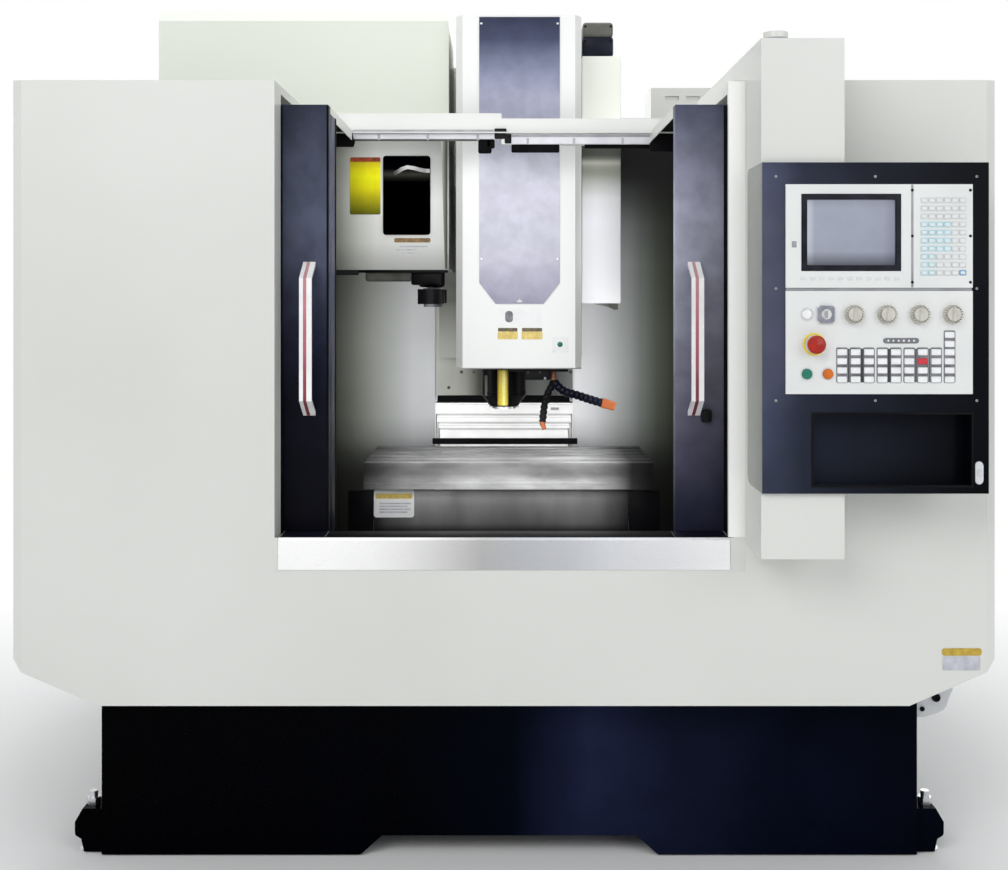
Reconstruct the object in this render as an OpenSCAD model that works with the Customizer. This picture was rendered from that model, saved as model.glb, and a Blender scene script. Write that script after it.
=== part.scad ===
// Vertical machining centre with a full sheet enclosure, both doors open.
// X runs to the right, Y runs from the operator into the machine, Z runs up.
// Inside the modules y is the depth behind the front face of the enclosure.

/* [Enclosure] */
// Width over the side walls
enclosure_w = 2656; // [2600:2:2700]
// Height of the top edge above the floor
enclosure_top = 2160; // [2140:1:2180]
// Height of the lowest edge of the enclosure
enclosure_bottom = 470; // [440:1:480]
// Depth of the side walls
enclosure_d = 1750; // [1700:5:1800]
// Thickness of the folded sheet
sheet = 3; // [2:0.5:4]
// Half width of the opening between the front panels
opening_half = 620; // [615:1:630]
// Depth of the folded return beside the opening
return_d = 100; // [90:1:101]
// Width of the vertical corner chamfer
corner_chamfer = 24; // [15:1:30]
// Depth of that chamfer
corner_depth = 8; // [5:1:15]
// Depth that the front panel wraps round the corner
corner_wrap = 60; // [50:1:80]
// Height where the side wall turns inward
side_fold_z = 595; // [585:1:620]
// Height of the outer end of the sloping floor
slope_top_z = 560; // [540:1:570]
// Half width of the flat floor between the slopes
floor_half = 1095; // [1060:5:1110]
// Place of the seam between the lower front panels
seam_x = -8; // [-40:1:40]
// Width of that seam
seam_gap = 2; // [1:0.5:4]
// Depth of the roof panels
roof_d = 710; // [705:1:712]
// Height of the lip along the roof opening
roof_lip = 20; // [12:1:30]

/* [Sill and doors] */
// Height of the sill's top face
sill_top = 924; // [915:1:930]
// Height of the sill's front face
sill_h = 86; // [70:1:90]
// Gap between the sill's end and the opening's edge
sill_end_gap = 10; // [5:1:15]
// Depth of the sill's top face
sill_d = 97; // [90:1:99]
// Bevel along the sill's front edge
sill_bevel = 6; // [3:1:9]
// Height of the floor of the door trough
trough_z = 868; // [860:1:872]
// Height of the trough's walls
trough_h = 22; // [15:1:26]
// Depth of the door's front face
door_y = 110; // [109:1:114]
// Thickness of a door
door_t = 40; // [30:1:42]
// Height of a door's top edge
door_top = 2110; // [2100:1:2114]
// Width of a door
door_w = 640; // [635:1:645]
// Inner edge of the left door when open
door_left_x = -490; // [-494:1:-486]
// Inner edge of the right door when open
door_right_x = 477; // [473:1:481]
// Width of a door's inner stile
stile_w = 137; // [120:1:145]
// Width of a door's outer stile
outer_stile_w = 100; // [80:1:110]
// Height of the window's lower edge
window_z0 = 1200; // [1150:5:1240]
// Height of the window's upper edge
window_z1 = 1960; // [1900:5:2000]
// Thickness of a window pane
pane_t = 6; // [4:1:8]
// Depth of the rear edge of a door's roof part
door_roof_y1 = 700; // [695:1:704]
// Height of the lip round a door's roof part
door_roof_lip = 30; // [20:1:34]

/* [Door handles] */
// Distance from a door's inner edge to the handle's middle line
handle_inset = 52; // [45:1:60]
// Width of the handle bar
handle_w = 34; // [28:1:40]
// Thickness of the handle bar
handle_t = 8; // [6:1:10]
// Reach of the handle in front of the door
handle_reach = 75; // [60:1:80]
// Height of the handle's lower foot
handle_z0 = 1244; // [1230:1:1260]
// Height of the handle's upper foot
handle_z1 = 1672; // [1650:1:1690]
// Height of each sloping end of the handle
handle_slope = 46; // [40:1:60]

/* [Header] */
// Depth of the header's front face
header_y = 710.3; // [710.3:0.5:716]
// Thickness of the header beam
header_t = 40; // [30:1:60]
// Top of the left header half
header_left_top = 2170; // [2162:1:2175]
// Top of the right header half
header_right_top = 2153; // [2145:1:2158]
// Height of the white band of a header half
header_band_h = 50; // [40:1:52]
// Height of the grey rail below the band
header_rail_h = 34; // [30:1:36]
// Amount by which the rail stands in front of the band
header_rail_step = 4; // [2:1:6]
// Depth of the ledge that carries the door roofs
ledge_d = 20; // [15:1:25]

/* [Bed] */
// Half width of the bed
bed_half = 1148; // [1100:1:1160]
// Offset of the bed's skirt from the middle of the ways
bed_shift = 15; // [0:1:20]
// Depth of the bed's front face
bed_y0 = 150; // [130:1:170]
// Depth of the bed's rear face
bed_y1 = 2000; // [2000:5:2050]
// Gap between the bed and the floor
foot_h = 4; // [3:1:12]
// Height of the recess in the bed's lower edge
notch_h = 54; // [40:1:60]
// Half width of that recess at the floor
notch_half = 420; // [380:5:440]
// Half width of that recess at its top
notch_top_half = 358; // [330:2:370]
// Depth of that recess
notch_d = 300; // [200:10:400]
// Reach of a side lug
lug_reach = 82; // [75:1:95]
// Height of a side lug
lug_h = 122; // [110:1:135]
// Radius of a side lug's end
lug_r = 41; // [38:1:45]
// Diameter of a levelling bolt
level_bolt_d = 24; // [20:1:30]
// Diameter of a levelling pad
level_pad_d = 70; // [60:1:78]
// Half width of the raised way bed
way_bed_half = 330; // [320:1:335]
// Height of the way bed's top face
way_bed_z = 560; // [555:1:561]
// Half width of the column's seat
column_seat_half = 480; // [470:1:500]
// Half width of the grooves for the ball screws
screw_groove_half = 80; // [75:1:90]
// Depth of the grooves for the ball screws
screw_groove_d = 60; // [58:1:65]

/* [Guides and screws] */
// Width of a guide rail
rail_w = 34; // [30:1:36]
// Height of a guide rail
rail_h = 30; // [26:1:32]
// Height of a rail with its carriage
guide_h = 48; // [46:1:50]
// Width of a carriage
carriage_w = 70; // [60:1:80]
// Length of a carriage
carriage_l = 80; // [70:1:90]
// Play between a carriage and its rail
slide_play = 0.3; // [0.2:0.1:0.4]
// Distance from the middle to the rails of the saddle
way_x = 260; // [250:1:265]
// Diameter of a ball screw
screw_d = 40; // [36:1:44]
// Running clearance round a turning shaft
run_play = 0.05; // [0.03:0.01:0.08]
// Distance from a screw's axis to the face beside its groove
screw_inset = 12; // [10:1:14]

/* [Table and saddle] */
// Length of the table along X
table_l = 1000; // [960:10:1040]
// Width of the table along Y
table_w = 500; // [480:2:500]
// Thickness of the table plate
table_t = 90; // [80:1:90]
// Height of the table's top face
table_z = 1000; // [996:1:1004]
// Depth of the table's front face
table_y0 = 969; // [965:1:970]
// Middle of the table along X
table_x = 16; // [0:1:20]
// Width of a T-slot's throat
slot_w = 18; // [14:1:22]
// Width of a T-slot's foot
slot_foot_w = 30; // [28:1:34]
// Height of a T-slot's foot
slot_foot_h = 14; // [12:1:16]
// Full depth of a T-slot
slot_depth = 34; // [30:1:38]
// Number of T-slots
slot_count = 5; // [3:2:5]
// Distance between T-slots
slot_pitch = 90; // [80:1:95]
// Height of the ledge along the table's lower edge
ledge_h = 22; // [16:1:26]
// Reach of that ledge
ledge_reach = 6; // [4:1:8]
// Half length of the saddle
saddle_half = 540; // [530:1:560]
// Depth of the saddle's front face
saddle_y0 = 988; // [986:1:994]
// Depth of the saddle's rear face
saddle_y1 = 1440; // [1430:1:1444]
// Height of the saddle's top face
saddle_z = 800; // [790:1:806]
// Height of the apron's lower fold
apron_z = 640; // [632:1:650]
// Left edge of the apron
apron_x0 = -450; // [-460:1:-440]
// Right edge of the apron
apron_x1 = 430; // [420:1:440]
// Gap between the apron and the table
apron_gap = 5; // [3:1:8]
// Depth of the apron's forward end
apron_y0 = 470; // [460:1:480]

/* [Way covers] */
// Half width of the widest rear cover
cover_half = 270; // [265:1:275]
// Step in half width from one rear cover to the next
cover_step = 8; // [6:1:9]
// Top of the widest rear cover
cover_top = 1155; // [1150:1:1158]
// Height of the step to the second cover
cover_band_1 = 46; // [40:1:50]
// Height of the step to the third cover
cover_band_2 = 28; // [24:1:32]
// Height of the step to the last cover
cover_band_3 = 20; // [16:1:24]
// Depth of the fixed cover's front edge
cover_y = 1600; // [1598:1:1602]
// Depth of the last cover's front edge
cover_last_y = 1480; // [1478:1:1484]
// Length of a rear cover
cover_l = 200; // [196:1:210]
// Height of the moving covers' lower edge
cover_leg_z = 615; // [612:1:630]
// Top of the front cover over the ways
front_cover_z = 615; // [612:1:620]
// Half width of that front cover
front_cover_half = 305; // [300:1:310]
// Depth of its front end
front_cover_y0 = 255; // [250:1:270]
// Depth of its rear end
front_cover_y1 = 575; // [570:1:580]

/* [Column] */
// Depth of the column's front face
column_y = 1640; // [1638:1:1642]
// Half width of the column's upper part
column_half = 380; // [375:1:390]
// Height of the column's top
column_top = 2480; // [2450:1:2500]
// Half width of the arch at its foot
arch_half = 290; // [285:1:300]
// Height of the arch
arch_z = 1165; // [1162:1:1175]
// Height where the legs start to taper
leg_taper_z0 = 1000; // [980:5:1040]
// Height where the taper ends
leg_taper_z1 = 1250; // [1200:5:1300]
// Distance from the middle to the head's rails
head_way_x = 200; // [190:1:205]
// Half width of the column's cover plate
column_cover_half = 267.5; // [262:0.5:269]
// Bottom of the column's cover plate
column_cover_z0 = 1160; // [1158:1:1165]
// Top of the column's cover plate
column_cover_z1 = 1590; // [1588:1:1594]
// Depth of the column's cover plate
column_cover_y = 1606; // [1605:0.5:1606.5]

/* [Head] */
// Depth of the spindle's axis
spindle_y = 1065; // [1060:1:1070]
// Height of the spindle's nose
nose_z = 1182; // [1178:1:1186]
// Radius of the spindle's nose
nose_r = 43; // [40:0.5:46]
// Radius of the spindle housing
housing_r = 77.5; // [74:0.5:80]
// Height where the housing starts to taper
housing_taper_z = 1228; // [1222:1:1236]
// Bottom of the head cover
head_z = 1335; // [1330:1:1340]
// Top of the head cover
head_top = 2520; // [2500:1:2530]
// Left face of the head cover
head_x0 = -162; // [-166:1:-158]
// Right face of the head cover
head_x1 = 262; // [258:1:268]
// Depth of the head cover's front face
head_y = 850; // [845:1:856]
// Depth of the head cover's rear edge
head_y1 = 1480; // [1470:1:1490]
// Width of the head cover's corner chamfers
head_chamfer = 23; // [18:1:28]
// Depth of the head cover's corner chamfers
head_chamfer_d = 34; // [28:1:40]
// Half width of the head casting
arm_half = 150; // [145:1:155]
// Top of the head casting's arm
arm_top = 1640; // [1620:1:1650]
// Depth of the head casting's front face
arm_y0 = 930; // [920:1:940]
// Depth of the carriage plate's front face
plate_y = 1500; // [1496:1:1504]
// Left edge of the carriage plate
plate_x0 = -250; // [-254:1:-246]
// Right edge of the carriage plate
plate_x1 = 300; // [296:1:304]
// Top of the carriage plate
plate_top = 2000; // [1990:1:2010]
// Bottom of the moving apron under the head
head_apron_z = 1187; // [1185:1:1190]
// Left edge of the dark front panel
panel_x0 = -83; // [-88:1:-78]
// Right edge of the dark front panel
panel_x1 = 187; // [182:1:192]
// Bottom of the dark front panel
panel_z = 1550; // [1540:1:1560]
// Height of the dark panel's cut corners
panel_cut_h = 70; // [60:1:80]
// Width of the dark panel's cut corners
panel_cut_w = 55; // [50:1:60]
// Thickness of the dark front panel
panel_t = 4; // [2:0.5:6]

/* [Head equipment] */
// Width of the spindle motor
motor_w = 210; // [190:2:220]
// Height of the spindle motor
motor_h = 420; // [400:5:450]
// Left face of the cable duct
duct_x0 = 283; // [281:1:286]
// Width of the cable duct
duct_w = 141; // [136:1:146]
// Depth of the cable duct's front face
duct_y = 1200; // [1190:1:1210]
// Bottom of the cable duct
duct_z0 = 1549; // [1540:1:1560]
// Top of the cable duct
duct_z1 = 2447; // [2440:1:2460]
// Width of the terminal box on the duct
duct_box_w = 112; // [105:1:120]
// Height of that terminal box
duct_box_h = 123; // [110:1:130]
// Depth of that terminal box
duct_box_d = 150; // [130:5:180]
// Diameter of a coolant hose segment
hose_d = 23; // [20:1:26]
// Length of a coolant hose segment
hose_pitch = 17; // [15:1:20]
// Diameter of a coolant nozzle's tip
nozzle_d = 14; // [10:1:18]

/* [Tool changer] */
// Left face of the magazine cover
magazine_x0 = -1185; // [-1190:1:-1180]
// Right face of the magazine cover
magazine_x1 = -190; // [-192:1:-186]
// Bottom of the magazine cover
magazine_z0 = 1666; // [1662:1:1672]
// Top of the magazine cover
magazine_z1 = 2563; // [2540:1:2565]
// Depth of the magazine cover's front face
magazine_y0 = 950; // [945:1:956]
// Depth of the magazine cover's rear face
magazine_y1 = 1500; // [1498:1:1506]
// Chamfer along the magazine cover's front top edge
magazine_chamfer = 42; // [30:1:45]
// Middle of the magazine disc along X
disc_x = -700; // [-710:1:-690]
// Height of the magazine disc's middle
disc_z = 2130; // [2120:1:2140]
// Radius of the circle of tool pots
pot_circle_r = 330; // [320:1:340]
// Number of tool pots
pot_count = 24; // [20:2:24]
// Radius of a tool pot
pot_r = 38; // [34:1:39]
// Length of a tool pot
pot_l = 100; // [80:1:110]
// Depth of the disc's front face
disc_y = 1290; // [1285:1:1295]
// Thickness of the disc
disc_t = 20; // [16:1:24]
// Radius of the disc's fixed pin
disc_pin_r = 30; // [26:1:34]
// Middle of the changer arm along X
changer_x = -250; // [-252:1:-246]
// Top of the changer arm's hub
changer_z = 1600; // [1595:1:1605]
// Thickness of the changer arm
changer_t = 50; // [40:1:54]
// Distance from the changer's axis to a gripper
changer_reach = 235; // [225:1:240]
// Radius of the tool flange that a gripper holds
grip_r = 31; // [29:1:33]
// Radius of the changer's shaft
changer_shaft_r = 25; // [22:1:28]
// Length of the changer's shaft
changer_shaft_l = 400; // [390:1:420]

/* [Control pod] */
// Left face of the control pod
pod_x0 = 655; // [650:1:660]
// Width of the pod's white column
pod_w = 212; // [200:1:220]
// Reach of the pod in front of the enclosure
pod_reach = 200; // [190:1:210]
// Bottom of the pod
pod_z0 = 907; // [900:1:915]
// Top of the pod
pod_z1 = 2234; // [2225:1:2240]
// Depth of the arm that runs back over the roof
pod_arm_y1 = 890; // [800:5:900]
// Right edge of the dark panel box
console_x1 = 1229; // [1220:1:1240]
// Bottom of the dark panel box
console_z0 = 1076; // [1070:1:1080]
// Top of the dark panel box
console_z1 = 1916; // [1910:1:1920]
// Thickness of the dark panel box
console_t = 75; // [70:1:90]
// Amount by which it stands in front of the pod
console_step = 15; // [10:1:20]
// Left edge of the open pocket
pocket_x0 = 784; // [780:1:790]
// Right edge of the open pocket
pocket_x1 = 1185; // [1180:1:1190]
// Bottom of the open pocket
pocket_z0 = 1097; // [1094:1:1100]
// Top of the open pocket
pocket_z1 = 1277; // [1270:1:1280]
// Depth of the open pocket
pocket_d = 60; // [50:1:62]
// Thickness of the display and operator units
unit_t = 6; // [5:1:8]
// Left edge of both units
unit_x0 = 713; // [710:1:716]
// Right edge of both units
unit_x1 = 1186; // [1182:1:1190]
// Bottom of the display unit
display_z0 = 1598; // [1594:1:1602]
// Top of both halves of the display unit
display_z1 = 1860; // [1855:1:1865]
// Left edge of the screen frame
screen_x0 = 752; // [748:1:756]
// Right edge of the screen frame
screen_x1 = 1005; // [1000:1:1010]
// Bottom of the screen frame
screen_z0 = 1640; // [1636:1:1644]
// Top of the screen frame
screen_z1 = 1836; // [1832:1:1840]
// Depth of the screen's recess
screen_d = 3; // [2:0.5:3.5]
// Bottom of the operator unit
operator_z0 = 1329; // [1325:1:1333]
// Top of the operator unit
operator_z1 = 1590; // [1586:1:1593]

/* [Keys and controls] */
// Width of a key cap on the display unit
key_w = 17; // [14:0.5:19]
// Height of a key cap on the display unit
key_h = 13; // [11:0.5:15]
// Rise of a key cap
key_rise = 2; // [1:0.5:3]
// Distance between key columns on the display unit
key_pitch_x = 19.5; // [19:0.1:20]
// Distance between key rows on the display unit
key_pitch_z = 20.4; // [20:0.1:21]
// Left edge of the first key column
key_x = 1063; // [1060:1:1066]
// Middle of the lowest key row
key_z = 1636; // [1632:1:1640]
// Left edge of the operator key matrix
matrix_x = 855; // [850:1:858]
// Middle of its lowest row
matrix_z = 1366; // [1362:1:1370]
// Distance between its columns
matrix_pitch_x = 34; // [33:0.5:35]
// Distance between its rows
matrix_pitch_z = 23; // [22:0.5:24]
// Width of a matrix key
matrix_key_w = 24; // [20:1:26]
// Height of a matrix key
matrix_key_h = 15; // [12:1:17]
// Radius of the mushroom of the emergency stop
estop_r = 23; // [20:1:24]
// Length of the mushroom
estop_l = 17; // [15:1:20]
// Gap under the mushroom
estop_gap = 20; // [16:1:24]
// Radius of the emergency stop's stem
estop_stem_r = 9; // [8:0.5:10]
// Radius of the emergency stop's ring
estop_ring_r = 25.5; // [25:0.5:28]
// Radius of the start and stop buttons
button_r = 12.7; // [11:0.1:13]
// Rise of a button above its unit
button_rise = 8; // [7:0.5:9]
// Play round a button or a shaft in its panel
button_play = 0.3; // [0.2:0.1:0.4]
// Depth of a control's bore in the panel box
control_bore_d = 20; // [15:1:30]
// Radius of a rotary knob
knob_r = 23; // [20:0.5:24]
// Height of a rotary knob
knob_h = 24; // [20:1:28]
// Radius of a knob's shaft
knob_shaft_r = 5; // [4:0.5:6]
// Place of the first knob
knob_x = 884; // [882:1:886]
// Distance between knobs
knob_pitch = 83; // [82:1:84]
// Height of the row of knobs
knob_z = 1531; // [1528:1:1534]
// Place of the key switch and the emergency stop
switch_x = 784; // [783:1:786]
// Height of the emergency stop
estop_z = 1455; // [1450:1:1460]
// Height of the start and stop buttons
button_z = 1380; // [1375:1:1385]
// Distance between the start and stop buttons
button_pitch = 53; // [45:1:55]
// Radius of the key switch's rotor
rotor_r = 12; // [10:0.5:13]

/* [Electrical cabinet] */
// Left face of the cabinet
cabinet_x0 = 20; // [10:1:30]
// Width of the cabinet
cabinet_w = 900; // [880:5:920]
// Depth of the cabinet
cabinet_d = 350; // [320:5:360]
// Bottom of the cabinet
cabinet_z0 = 620; // [600:5:640]
// Top of the cabinet
cabinet_z1 = 2330; // [2320:1:2335]
// Thickness of the cabinet's walls
cabinet_wall = 12; // [10:1:16]
// Left face of the cooler on top
cooler_x0 = 624; // [618:1:630]
// Height of the cooler
cooler_h = 128; // [120:1:135]
// Depth of the cooler
cooler_d = 250; // [200:5:300]
// Thickness of the cabinet's door
cabinet_door_t = 20; // [16:1:24]
// Radius of a hinge pin
hinge_pin_r = 4; // [3:0.5:5]
// Height of a hinge knuckle
knuckle_h = 38; // [30:1:45]

/* [Hidden] */
$fn = 48;
half_w = enclosure_w / 2;
eps = 0.01;
estop_reach = pod_reach + console_step + unit_t + estop_gap + estop_l + 4;
cabinet_y1 = bed_y1 + cabinet_d;
door_gap = 0.3;
latch_reach = 24;
rear_reach = cabinet_y1 + door_gap + cabinet_door_t + latch_reach;
front_y = -(rear_reach - estop_reach) / 2;
slope_top_x = half_w - corner_chamfer;
way_guide_z = way_bed_z + guide_h;
table_y1 = table_y0 + table_w;
table_mid_y = table_y0 + table_w / 2;
table_bottom = table_z - table_t;
cross_way_y = 130;
cross_guide_z = saddle_z + guide_h;
head_back_y = column_y - guide_h;
arm_z = head_z + sheet;
unit_y = -(pod_reach + console_step);
unit_front = unit_y - unit_t;
console_back = unit_y + console_t;
trough_floor = trough_z + sheet;
door_z0 = trough_floor + door_gap;
door_y1 = door_y + door_t;
ledge_z = door_top - sheet - door_gap;
cover_top_1 = cover_top - cover_band_1;
cover_top_2 = cover_top_1 - cover_band_2;
cover_top_3 = cover_top_2 - cover_band_3;
cover_pitch = (cover_y - cover_last_y) / 3;
cabinet_x1 = cabinet_x0 + cabinet_w;
hinge_x = cabinet_x0 - 6;
hinge_y = cabinet_y1 + cabinet_door_t / 2 + 2;
knuckle_r = hinge_pin_r + 5;
hinge_heights = [800, 1450, 2100];

// Moves a piece from enclosure depth to the part's own frame
module placed() {
    translate([0, front_y, 0]) children();
}

// Box given by its lowest and highest corner
module block(low, high) {
    translate(low) cube(high - low);
}

// Profile drawn in X and Z, extruded from depth y0 to y1
module along_y(y0, y1) {
    translate([0, y1, 0]) rotate([90, 0, 0]) linear_extrude(y1 - y0) children();
}

// Profile drawn in Y and Z, extruded from x0 to x1
module along_x(x0, x1) {
    translate([x0, 0, 0]) rotate([90, 0, 90]) linear_extrude(x1 - x0) children();
}

// Round bar along Y
module bar_y(x, y0, y1, z, r) {
    translate([x, y0, z]) rotate([-90, 0, 0]) cylinder(h = y1 - y0, r = r);
}

// Round bar along X
module bar_x(x0, x1, y, z, r) {
    translate([x0, y, z]) rotate([0, 90, 0]) cylinder(h = x1 - x0, r = r);
}

// Round bar along Z
module bar_z(x, y, z0, z1, r) {
    translate([x, y, z0]) cylinder(h = z1 - z0, r = r);
}

// Mirrors a left-hand piece for side 1 and leaves it for side -1
module on_side(side) {
    mirror([side > 0 ? 1 : 0, 0, 0]) children();
}

/* Bed and its feet */

lug_places = [bed_y0 + 60, (bed_y0 + bed_y1) / 2, bed_y1 - 100];
lug_x = bed_half + lug_reach - lug_r;

// Lug that tapers to a foot below and slopes to its tip above
module bed_lug(y) {
    tip_x = bed_half + lug_reach;
    top_z = foot_h + lug_h;
    difference() {
        along_y(y - lug_r, y + lug_r) polygon([
            [bed_half - 1, foot_h], [tip_x - 26, foot_h], [tip_x - 18, foot_h + 36], [tip_x - 2, foot_h + 46],
            [tip_x, foot_h + 54], [tip_x, top_z - 38], [tip_x - 22, top_z], [bed_half - 1, top_z]
        ]);
        bar_z(lug_x, y, foot_h - 1, foot_h + lug_h + 1, level_bolt_d / 2 + 1);
    }
}

module bed_body() {
    translate([bed_shift, 0, 0]) difference() {
        block([-bed_half, bed_y0, foot_h], [bed_half, bed_y1, enclosure_bottom]);
        along_y(bed_y0 - 1, bed_y0 + notch_d) polygon([
            [-notch_half, foot_h - 1], [notch_half, foot_h - 1],
            [notch_top_half, foot_h + notch_h], [-notch_top_half, foot_h + notch_h]
        ]);
    }
}

// Raised seat of the saddle's ways and of the column
module way_bed() {
    groove_z = way_bed_z - screw_groove_d;
    difference() {
        union() {
            block([-way_bed_half, bed_y0 + 100, enclosure_bottom - 1], [way_bed_half, bed_y1, way_bed_z]);
            block([-column_seat_half, column_y - 20, enclosure_bottom - 1], [column_seat_half, bed_y1, way_bed_z]);
        }
        block([-screw_groove_half, bed_y0 + 150, groove_z], [screw_groove_half, bed_y1 - 60, way_bed_z + 1]);
    }
}

// Bearing blocks of the saddle's ball screw
module way_bearings() {
    for (y = [bed_y0 + 150, bed_y1 - 120]) {
        difference() {
            block([-50, y, way_bed_z - screw_groove_d - 1], [50, y + 60, way_bed_z]);
            bar_y(0, y - 1, y + 61, way_bed_z - screw_inset - screw_d / 2, screw_d / 2 - 5 + run_play);
        }
    }
}

module base_casting() {
    color([0.05, 0.06, 0.12]) union() {
        bed_body();
        way_bed();
        way_bearings();
        translate([bed_shift, 0, 0]) for (y = lug_places, side = [-1, 1]) on_side(-side) bed_lug(y);
    }
}

module levelling_bolts() {
    head_z0 = foot_h + lug_h;
    color([0.75, 0.76, 0.78]) translate([bed_shift, 0, 0]) {
        for (y = lug_places, side = [-1, 1]) on_side(-side) {
            bar_z(lug_x, y, 0, foot_h, level_pad_d / 2);
            bar_z(lug_x, y, foot_h, head_z0, level_bolt_d / 2);
            translate([lug_x, y, head_z0]) cylinder(h = 20, r = level_bolt_d * 0.85, $fn = 6);
            bar_z(lug_x, y, head_z0 + 20, head_z0 + 37, level_bolt_d / 2);
        }
    }
}

/* Enclosure */

front_outline = [
    [-floor_half, enclosure_bottom], [floor_half, enclosure_bottom], [slope_top_x, slope_top_z],
    [half_w, side_fold_z], [half_w, enclosure_top - sheet], [-half_w, enclosure_top - sheet],
    [-half_w, side_fold_z], [-slope_top_x, slope_top_z]
];

// Plan of the upright part of the right front panel
panel_plan = [
    [opening_half, 0], [slope_top_x, 0], [half_w, corner_depth], [half_w, corner_wrap],
    [half_w - sheet, corner_wrap], [half_w - sheet, corner_depth + sheet * 0.72],
    [slope_top_x - sheet * 0.16, sheet], [opening_half + sheet, sheet],
    [opening_half + sheet, return_d], [opening_half, return_d]
];

// Front panel with its half of the strip below the sill, drawn for the right side
module front_panel(inner_x) {
    plate_top = sill_top - sill_h + 22;
    intersection() {
        union() {
            translate([0, 0, enclosure_bottom]) linear_extrude(enclosure_top - sheet - enclosure_bottom) {
                polygon(panel_plan);
            }
            block([inner_x, 0, enclosure_bottom], [opening_half + sheet, sheet, plate_top]);
        }
        along_y(-1, return_d + 1) polygon(front_outline);
        union() {
            block([-half_w, -1, enclosure_bottom - 1], [half_w, sheet, enclosure_top]);
            block([-half_w, -1, enclosure_bottom + sheet], [half_w, return_d + 1, enclosure_top]);
        }
    }
}

module front_panel_left() {
    color([0.88, 0.89, 0.87]) on_side(1) front_panel(seam_gap / 2 - seam_x);
}

module front_panel_right() {
    color([0.88, 0.89, 0.87]) front_panel(seam_x + seam_gap / 2);
}

// Sloping floor and side wall folded from one sheet, drawn for the right side
slope_profile = [
    [floor_half, enclosure_bottom], [slope_top_x, slope_top_z],
    [slope_top_x - sheet * 0.4, slope_top_z + sheet], [floor_half, enclosure_bottom + sheet * 1.09]
];
wall_profile = [
    [floor_half, enclosure_bottom], [slope_top_x, slope_top_z], [half_w, side_fold_z],
    [half_w, enclosure_top - sheet], [half_w - sheet, enclosure_top - sheet],
    [half_w - sheet, side_fold_z + sheet * 0.3], [slope_top_x - sheet * 0.4, slope_top_z + sheet],
    [floor_half, enclosure_bottom + sheet * 1.09]
];

module side_wall() {
    union() {
        along_y(corner_wrap, enclosure_d) polygon(wall_profile);
        along_y(sheet, corner_wrap + 1) polygon(slope_profile);
    }
}

module side_wall_left() {
    color([0.86, 0.87, 0.85]) on_side(1) side_wall();
}

module side_wall_right() {
    color([0.86, 0.87, 0.85]) side_wall();
}

pan_y1 = column_y - 25;

module chip_pan() {
    color([0.55, 0.56, 0.58]) difference() {
        block([-floor_half, sheet, enclosure_bottom], [floor_half, pan_y1, enclosure_bottom + sheet]);
        block([-way_bed_half - 1, bed_y0 + 99, enclosure_bottom - 1], [way_bed_half + 1, pan_y1 + 1, way_bed_z]);
    }
}

module roof_panel() {
    top = enclosure_top - sheet;
    union() {
        translate([0, 0, top]) linear_extrude(sheet) polygon([
            [opening_half, 0], [slope_top_x, 0], [half_w, corner_depth],
            [half_w, roof_d], [opening_half, roof_d]
        ]);
        block([opening_half, return_d, top - roof_lip], [opening_half + sheet, roof_d, top + 1]);
    }
}

module roof_panels() {
    color([0.90, 0.91, 0.89]) {
        on_side(1) roof_panel();
        roof_panel();
    }
}

module header_half(x0, x1, top) {
    rail_top = top - header_band_h;
    y1 = header_y + header_t;
    union() {
        block([x0, header_y, rail_top - eps], [x1, y1, top]);
        block([x0, header_y - header_rail_step, rail_top - header_rail_h], [x1, y1, rail_top]);
    }
}

// Ledge under the rear edge of the door roofs
module header_ledge() {
    inner = half_w - sheet;
    block([-inner, header_y - header_rail_step - ledge_d, ledge_z - sheet], [inner, header_y + 1, ledge_z]);
}

module header_rails() {
    inner = half_w - sheet;
    color([0.87, 0.88, 0.86]) union() {
        header_half(-inner, seam_x, header_left_top);
        header_half(seam_x, inner, header_right_top);
        header_ledge();
    }
}

// Rear guard beside the column, drawn for the right side
module rear_guard(low_x, high_x, step_z) {
    inner_floor = enclosure_bottom + sheet;
    seat_z = way_bed_z + 1;
    along_y(cover_y, cover_y + sheet) polygon([
        [low_x, seat_z], [way_bed_half + 4, seat_z], [way_bed_half + 4, inner_floor],
        [floor_half - 8, inner_floor], [slope_top_x - sheet * 0.4 - 3, slope_top_z + sheet + 2],
        [half_w - sheet, side_fold_z + 6], [half_w - sheet, enclosure_top - sheet],
        [high_x, enclosure_top - sheet], [high_x, step_z], [low_x, step_z]
    ]);
}

module rear_guards() {
    color([0.72, 0.74, 0.75]) {
        on_side(1) rear_guard(cover_half, 400, magazine_z0 - 6);
        rear_guard(cover_half, plate_x1 + 10, plate_top);
    }
}

/* Sill and doors */

module door_sill() {
    x = opening_half - sill_end_gap;
    inner = half_w - sheet;
    z0 = sill_top - sill_h;
    trough_y0 = door_y - 7;
    trough_y1 = door_y1 + 10;
    color([0.78, 0.79, 0.80]) union() {
        along_x(-x, x) polygon([
            [-sheet, z0], [-sheet, sill_top - sill_bevel], [sill_bevel - sheet, sill_top], [sill_d + sheet, sill_top],
            [sill_d + sheet, trough_floor], [trough_y0 + 1, trough_floor], [trough_y0 + 1, trough_z],
            [sill_d, trough_z], [sill_d, sill_top - sheet], [sill_bevel - sheet + 1.2, sill_top - sheet],
            [0, sill_top - sill_bevel - 1.2], [0, z0]
        ]);
        along_x(-inner, inner) polygon([
            [trough_y0, trough_z], [trough_y1, trough_z], [trough_y1, trough_z + trough_h],
            [trough_y1 - sheet, trough_z + trough_h], [trough_y1 - sheet, trough_floor],
            [trough_y0 + sheet, trough_floor], [trough_y0 + sheet, trough_z + trough_h], [trough_y0, trough_z + trough_h]
        ]);
    }
}

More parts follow.
